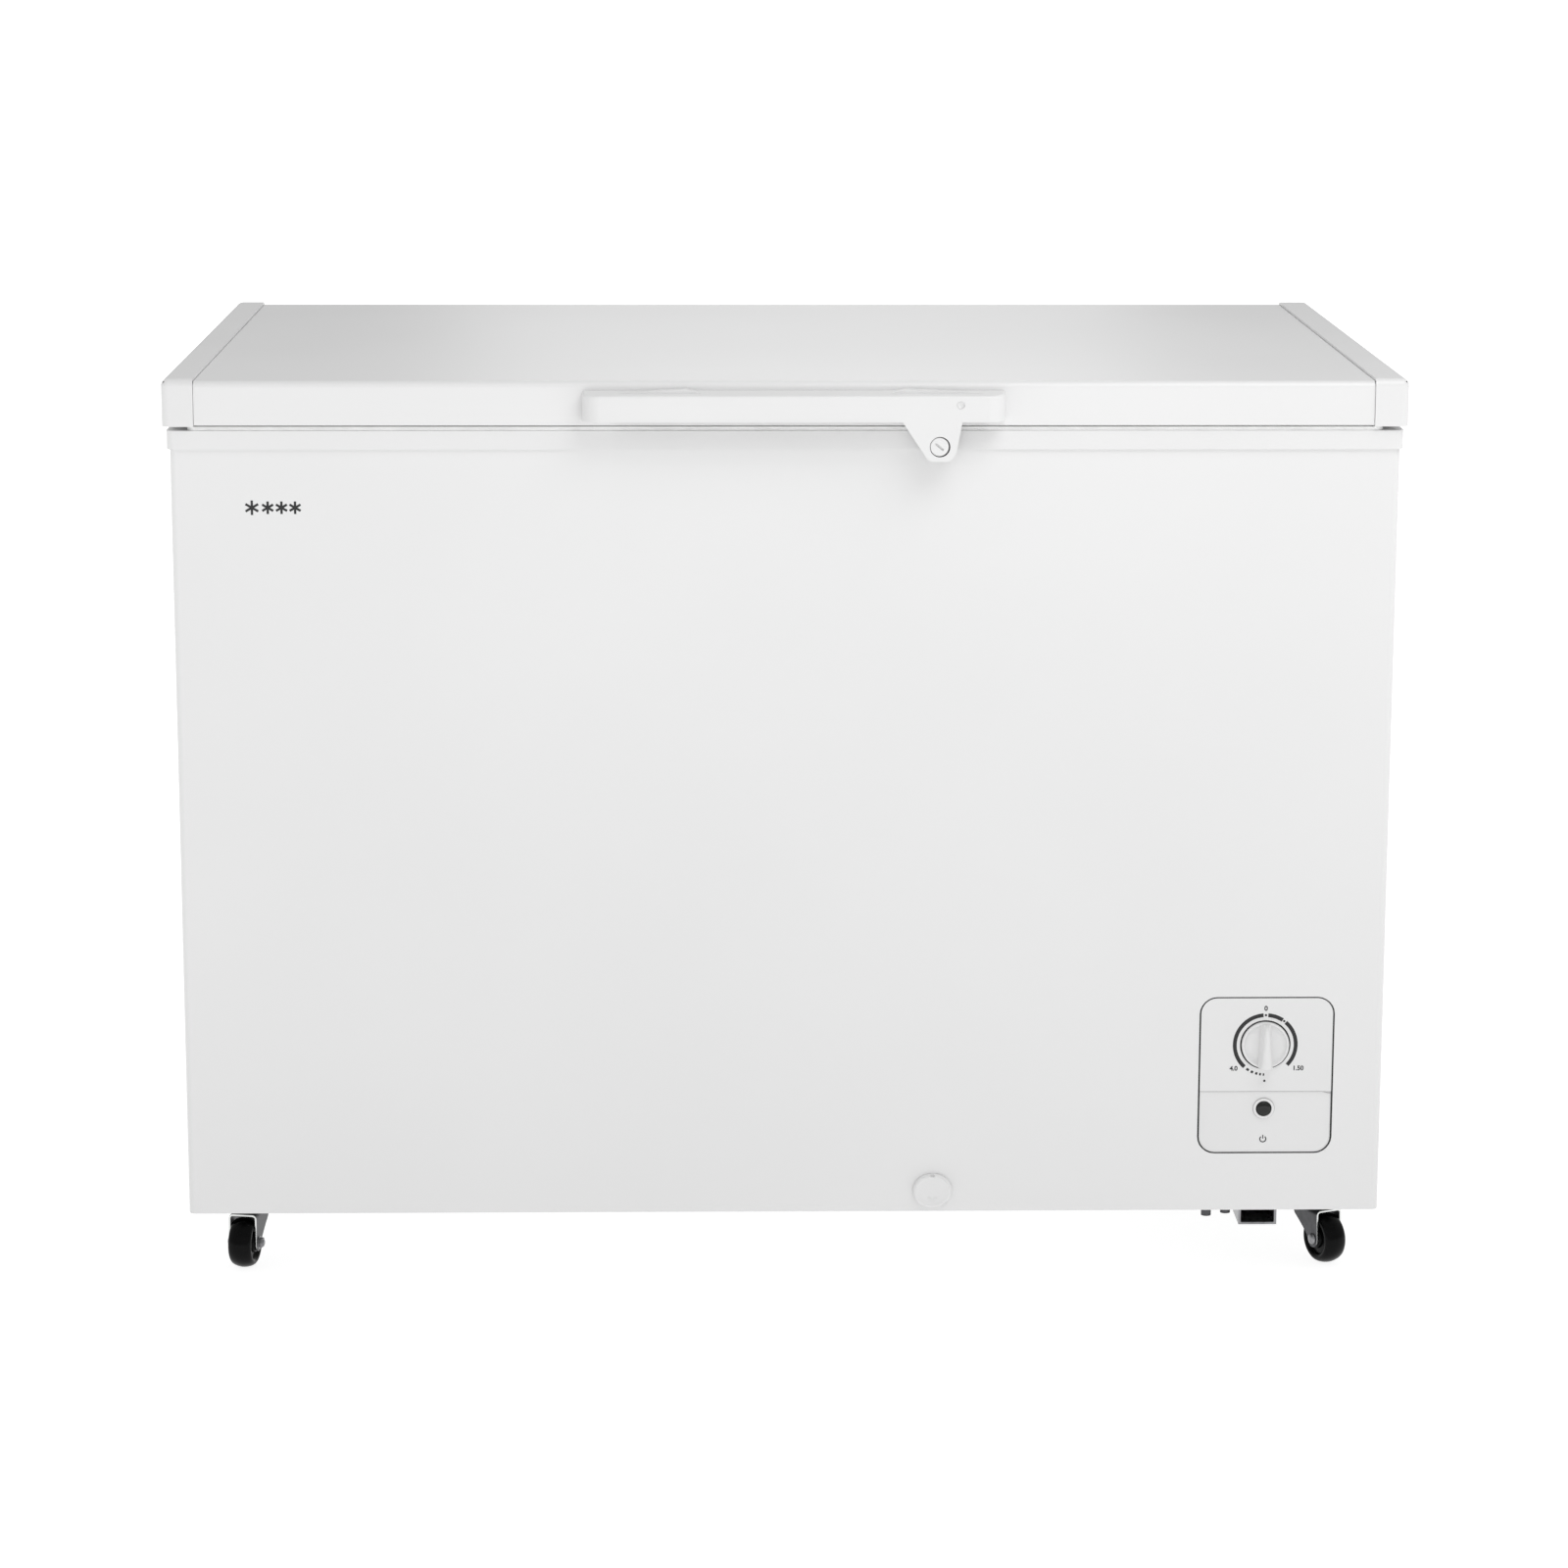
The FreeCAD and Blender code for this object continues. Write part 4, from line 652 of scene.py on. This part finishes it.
# ---------------------------------------------------------------- drain, lock and screws
def drain_plug():
    """Low oval plug with a raised rim, a pull notch at the top and two raised marks."""
    place = facing(PLUG.x, FRONT, PLUG.z)
    flattened = Matrix.Diagonal((1, 0.88, 1, 1))
    dome = spun([(0, 4.5), (9, 4.4), (13.2, 4.5), (14.6, 4.95), (15.8, 5.2), (16.9, 4.8), (17.9, 3.4),
                 (18.4, 1.6), (18.3, 0.3), (7.45, 0.3), (7.45, -25), (0, -25)], 72)
    item = make("drain_plug_dome", moved(dome, flattened), place, MATERIALS["white_plastic"],
                "outer_drain_plug", stands_for=["drain_plug"])
    notch = slab([(-1.7, 13.6), (1.7, 13.6), (1.9, 17.5), (-1.9, 17.5)], 2.2, 7)
    carve(item, moved(notch, place))
    marks = [moved(arc_band(3.0, 4.3, start, end, 4.0, 5.1), Matrix.Translation((0, -4.5, 0)))
             for start, end in ((118, 165), (195, 242))]
    make("drain_plug_marks", joined(*marks), place, MATERIALS["white_plastic"], "outer_drain_plug")


def lock_face():
    """Turned face of the lock cylinder with its key slot, in a ring of painted shade in its clearance."""
    face = span("lock_cylinder")[0].y
    place = facing(LOCK.x, face, LOCK.z)
    steps, bore = 72, 9.1
    barrel = spun([(0, 0), (6.3, -0.05), (7.3, -0.2), (8.1, -0.5), (8.4, -1.0), (8.4, -16.2), (4, -16.2),
                   (4, -16.6), (0, -16.6)], steps)
    # the cylinder sits to the left in its bore, as worn or loose locks do
    rested = place @ Matrix.Translation((-0.45, 0.1, 0))
    item = make("lock_barrel_face", barrel, rested, MATERIALS["white_plastic"], "lock",
                stands_for=["lock_cylinder"])
    key = slab(rounded_box(4.8, 1.0, 0.9, 4), -1.9, 3)
    turn = Matrix.Rotation(math.radians(-40), 4, "Z")
    carve(item, moved(moved(key, turn), rested))
    # a dark ring of painted shade lines the bore round the cylinder
    near, deep = -0.5, -6
    rows = []
    for height, inner in ((near, True), (near, False), (deep, False), (deep, True), (near, True)):
        row = []
        for i in range(steps):
            angle = math.tau * i / steps
            # the painted shade is widest on the right, away from the side where the cylinder rests
            wide = 0.12 + 0.75 * max(0.0, math.cos(angle + math.radians(15))) ** 0.9
            radius = bore - (wide if inner else 0.0)
            row.append((radius * math.cos(angle), radius * math.sin(angle), height))
        rows.append(row)
    make("lock_clearance_painted_shade", skin(rows), place, PAINTED_GAP_SHADE, "lock")


def handle_cap():
    """Dished cap over the handle's screw."""
    cap = middle("handle_screw_cap")
    face = span("handle_screw_cap")[0].y
    dish = spun([(0, -1.3), (1.6, -1.15), (2.7, -0.6), (3.2, -0.05), (3.45, -0.05), (3.55, -0.3),
                 (3.55, -2.2), (0, -2.2)], 48)
    make("handle_cap_dish", dish, facing(cap.x, face, cap.z), MATERIALS["white_plastic"], "lid",
         stands_for=["handle_screw_cap"])


def screw_head(radius, height):
    """A pan head about its own axis."""
    return spun([(0, height), (radius * 0.5, height * 0.95), (radius * 0.85, height * 0.7),
                 (radius, height * 0.3), (radius, 0), (0, 0)], 24)


def cross(radius, low, high):
    """A cross-shaped driver recess."""
    wide, reach = radius * 0.14, radius * 0.58
    outline = [(wide, wide), (wide, reach), (-wide, reach), (-wide, wide), (-reach, wide),
               (-reach, -wide), (-wide, -wide), (-wide, -reach), (wide, -reach), (wide, -wide),
               (reach, -wide), (reach, wide)]
    return slab(outline, low, high)


def screws():
    """Cross-headed screws of the rear cover and the base's corners."""
    back = Matrix(((-1, 0, 0, 0), (0, 0, 1, 0), (0, 1, 0, 0), (0, 0, 0, 1)))
    down = Matrix(((1, 0, 0, 0), (0, -1, 0, 0), (0, 0, -1, 0), (0, 0, 0, 1)))
    heads, recesses = [], []
    cover = span("rear_cover")[1].y + 0.1
    low = span("outer_shell")[0].z - 0.2
    cover_radius, base_radius, tall, turn_each = 4.0, 3.5, 2.0, 0.5
    spots = [(Matrix.Translation((x, cover, z)) @ back, cover_radius)
             for x in (315, 540) for z in (90, 320)]
    spots += [(Matrix.Translation((x, y, low)) @ down, base_radius)
              for x in (-545, 545) for y in (-318, 318)]
    for number, (place, radius) in enumerate(spots):
        twist = place @ Matrix.Rotation(turn_each * number, 4, "Z")
        heads.append(moved(screw_head(radius, tall), twist))
        recesses.append(moved(cross(radius, 0.9, 3), twist))
    whole = standing(0, 0, 0)
    item = make("cabinet_screw_heads", joined(*heads), whole, MATERIALS["zinc_steel"], "cabinet",
                stands_for=["cabinet_screws"])
    carve(item, moved(joined(*recesses), whole))


# ---------------------------------------------------------------- seal, basket and springs
def gasket():
    """Hollow magnetic seal: a bellows profile carried round the lid's underside."""
    low, high = span("lid_gasket")
    # its soft front lip reaches a little past the firm core
    low.y -= 2.1
    centre = (low + high) / 2
    half_u, half_v = (high.x - low.x) / 2, (high.y - low.y) / 2
    # (inward, height) round the section: outer lip, the dart in the lid's groove, inner bellows
    profile = [(0.3, -0.25), (0, 0.3), (0.05, 1.2), (0.3, 1.6), (0.05, 2.0), (0, 3.0), (0.4, 3.6),
               (9, 3.6), (9.6, 4.6), (12.4, 4.6), (13, 3.4), (21, 3.4), (21.8, 2.4), (20.6, 1.7),
               (21.8, 1.0), (21, 0), (0.3, -0.25)]
    rows = []
    for inward, height in profile:
        outline = rounded_box(half_u - inward, half_v - inward, max(6.0, 24 - inward) / 3, 5)
        rows.append([(u, v, height) for u, v in outline])
    make("seal_bellows", skin(rows), standing(centre.x, centre.y, low.z), MATERIALS["seal_rubber"],
         "lid", stands_for=["lid_gasket"], crease=60)


def basket():
    """Coated wire basket: rims, wires both ways, and four bent hangers with plastic grips."""
    low, high = span("storage_basket")
    left, right = low.x + 3, high.x - 3
    # the hangers reach past the basket's ends to the ledges of the rim
    front, back = low.y + 24.5, high.y - 24.5
    floor, rim, ledge = low.z + 3, high.z - 25, high.z - 2.2
    thick, frame_wire, hanger_wire, thin = 2.8, 2.0, 1.8, 1.4

    def loop(inset, height, radius, bend=16):
        corners = [(left + inset, front + inset, height), (right - inset, front + inset, height),
                   (right - inset, back - inset, height), (left + inset, back - inset, height)]
        return wire(rounded_path(corners, bend, closed=True), radius, closed=True)
    wires = [loop(0, rim, thick), loop(0.8, rim - 40, frame_wire), loop(1.6, rim - 105, frame_wire),
             loop(12, floor + 3.4, frame_wire, 8)]
    across, lengthwise, bend = 20, 8, 12
    for i in range(1, across):
        y = front + (back - front) * i / across
        corners = [(left + 1.5, y, rim), (left + 3, y, floor), (right - 3, y, floor),
                   (right - 1.5, y, rim)]
        wires.append(wire(rounded_path(corners, bend), thin, sides=8))
    for i in range(1, lengthwise):
        x = left + (right - left) * i / lengthwise
        corners = [(x, front + 1.5, rim), (x, front + 3, floor + 2.6), (x, back - 3, floor + 2.6),
                   (x, back - 1.5, rim)]
        wires.append(wire(rounded_path(corners, bend), thin, sides=8))
    hanger_width = 12
    for x in (left + 27, right - 39):
        for wall, tip in ((front, low.y + 2.5), (back, high.y - 2.5)):
            for side in (0, hanger_width):
                corners = [(x + side, wall, rim - 34), (x + side, wall, ledge), (x + side, tip, ledge)]
                wires.append(wire(rounded_path(corners, 5), hanger_wire))
            ends = [Vector((x, tip, ledge)), Vector((x + hanger_width, tip, ledge))]
            wires.append(wire(ends, hanger_wire))
    make("basket_wires", joined(*wires), standing(0, 0, 0), MATERIALS["basket_wire"], "basket",
         stands_for=["storage_basket"], crease=60)
    grips = []
    for y in (front, back):
        along = [Vector((x, y, rim)) for x in (left + 80, left + 82, right - 82, right - 80)]
        grips.append(wire(along, 4.6, sides=16))
    make("basket_grips", joined(*grips), standing(0, 0, 0), MATERIALS["white_plastic"], "basket",
         bevel=0.8)


def springs():
    """The two coil springs under the hinge plungers."""
    low, high = span("hinge_springs")
    turns, steps = 9, 16
    outer, coil, wire_radius, end_room = 5.5, 4.4, 0.85, 1
    for name, x in (("left", low.x + outer), ("right", high.x - outer)):
        y = (low.y + high.y) / 2
        path = []
        for i in range(turns * steps + 1):
            angle = math.tau * i / steps
            share = i / (turns * steps)
            path.append(Vector((x + coil * math.cos(angle), y + coil * math.sin(angle),
                                low.z + end_room + (high.z - low.z - 2 * end_room) * share)))
        item = make(f"hinge_spring_{name}", wire(path, wire_radius, sides=8), standing(0, 0, 0),
                    MATERIALS["zinc_steel"], None, stands_for=["hinge_springs"])
        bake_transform(item)


# ---------------------------------------------------------------- casters
TRAIL = 22      # from the kingpin to the wheel's axle
WHEEL_Z = 24    # height of the axle, the wheel's own radius
CASTER_TURNS = {"front_left": -11, "front_right": 25, "rear_left": 8, "rear_right": -15}


def caster(name, turn):
    """Pressed fork with a bent crown, barrel-shaped wheel, and a bolt with nut and dome."""
    kingpin = swivel_axis(name)
    place = standing(kingpin.x, kingpin.y, 0, turn)
    fork = make(f"caster_yoke_{name}", joined(yoke(), race()), place, DULL_STEEL, f"swivel_{name}",
                stands_for=[f"caster_fork_{name}"], bevel=0.35)
    fork.data.materials.append(PAINTED_HIGHLIGHT_STEEL)
    ahead = place.to_3x3().normalized() @ Vector((0, -1, 0))
    crown_top = 53 * MM
    for face in fork.data.polygons:
        # faces turned to the caster's front get a bright steel: a painted highlight along the strip's front edge
        painted_highlight = face.normal.dot(ahead) > 0.93 and face.center.z < crown_top
        face.material_index = 1 if painted_highlight else 0
    sideways = place @ Matrix.Translation((0, -TRAIL, WHEEL_Z)) @ Matrix.Rotation(math.pi / 2, 4, "Y")
    make(f"caster_tyre_{name}", tyre(), sideways, MATERIALS["tread_black"], f"wheel_{name}",
         stands_for=[f"caster_wheel_{name}"], crease=60)
    make(f"caster_bolt_{name}", bolt(), sideways, BOLT_STEEL, f"swivel_{name}",
         stands_for=[f"caster_axle_{name}"], bevel=0.2)


def tyre():
    """Barrel-shaped wheel with a hub, mirrored about its middle."""
    bore, hub = 4.1, 11.3
    half = [(bore, hub), (8.6, hub), (9.2, 10.6), (9.8, 8.2), (14.6, 7.6), (15.6, 9.8), (17.6, 11.2),
            (19.6, 10.9), (21.3, 9.6), (22.6, 7.2), (23.5, 4.2), (23.95, 1.2)]
    return spun([(radius, -side) for radius, side in half] + half[::-1] + [(bore, -hub)], 72)


def bolt():
    """Axle bolt: a domed head at one end, a washer and a six-sided nut at the other."""
    shaft = spun([(0, -16.6), (2.6, -16.4), (4.4, -15.7), (5.3, -14.6), (5.4, -13.75), (3.9, -13.7),
                  (3.9, 13.7), (6.2, 13.75), (6.2, 14.4), (3.0, 14.4), (3.0, 18.3), (2.4, 18.8),
                  (0, 18.8)], 32)
    nut = spun([(3.1, 14.4), (5.2, 14.4), (5.2, 17.4), (4.5, 18.0), (3.1, 18.0)], 6)
    return joined(shaft, moved(nut, Matrix.Rotation(0.4, 4, "Z")))


def swivel_axis(name):
    """Where a caster's kingpin stands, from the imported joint."""
    joint = next(j for j in frame["joints"] if j["name"] == f"swivel_{name}")
    return Vector(joint["pos_m"]) / MM


def yoke():
    """A strip bent into an inverted U; its sides taper from the crown to a round eye."""
    outer, thick, top, bend, eye = 13.7, 1.9, 52.5, 4.2, 8.3
    shoulder = top - bend - WHEEL_Z
    line = [(outer, WHEEL_Z + z) for z in (-8.2, -7.6, -6.2, -4, -1.5, 2, 7, 12, 17, 21, shoulder)]
    line += [(outer - bend + bend * math.cos(a), top - bend + bend * math.sin(a))
             for a in (math.pi / 2 * k / 6 for k in range(1, 7))]
    line += [(-x, z) for x, z in reversed(line)]

    def edges(z):
        """Where the strip's front and back edges are at a height."""
        if z < WHEEL_Z:
            reach = math.sqrt(max(0.0, eye ** 2 - (z - WHEEL_Z) ** 2))
            return -TRAIL - reach, -TRAIL + reach
        share = min(1.0, (z - WHEEL_Z) / 19)
        return -TRAIL - eye + 1.4 * share, -TRAIL + eye + (TRAIL + 13 - eye) * share ** 1.15
    rows = []
    for i, (x, z) in enumerate(line):
        before = Vector(line[max(0, i - 1)])
        after = Vector(line[min(len(line) - 1, i + 1)])
        heading = (after - before).normalized()
        inward = Vector((-heading.y, heading.x)) * thick
        front, back = edges(z)
        rows.append([(x, front, z), (x + inward.x, front, z + inward.y),
                     (x + inward.x, back, z + inward.y), (x, back, z)])
    return skin(rows, ends=True)


def race():
    """Ball race on the crown of the fork."""
    return spun([(4.2, 50.4), (9, 50.4), (9, 52.3), (15.5, 52.4), (16.8, 53.4), (17, 55.4), (17, 59.0),
                 (16.4, 61.0), (14.5, 62.0), (9.5, 62.0), (9.2, 61.4), (4.2, 61.4), (4.2, 50.4)], 48)


SOFT_EDGES = {
    # CAD node: width of its rounded edges in millimetres
    "outer_shell": 0.35, "top_frame": 0.7, "lid_panel": 0.35, "lid_end_cap_left": 0.5,
    "lid_end_cap_right": 0.5, "lid_handle": 1.3, "control_panel": 0.35, "lid_liner": 1.2,
    "hinge_housings": 0.6, "hinge_leaves": 0.4, "compressor_rail": 0.7, "base_pan": 0.3,
    "compressor": 0.6, "terminal_cover": 0.8, "rear_cover": 0.3, "side_grille": 0.3,
    "cord_gland": 0.6, "lock_strike": 0.3, "lock_cam": 0.3, "rail_studs": 0.5, "caster_mounts": 0.4,
    "inner_liner": 0.4, "drain_stopper": 0.8, "thermostat": 0.6, "compressor_bolts": 0.3,
    "caster_bolts": 0.3, "hinge_pins": 0.3, "hinge_plungers": 0.6, "back_panel": 0.2,
}

camera()
studio()
dress_nodes()
for node, width in SOFT_EDGES.items():
    soften(frame["nodes"][node], width)
gap_round_panel()
dial_print()
panel_symbols()
knob()
lamp()
drain_plug()
lock_face()
handle_cap()
screws()
gasket()
basket()
springs()
for corner, degrees in CASTER_TURNS.items():
    caster(corner, math.radians(degrees))
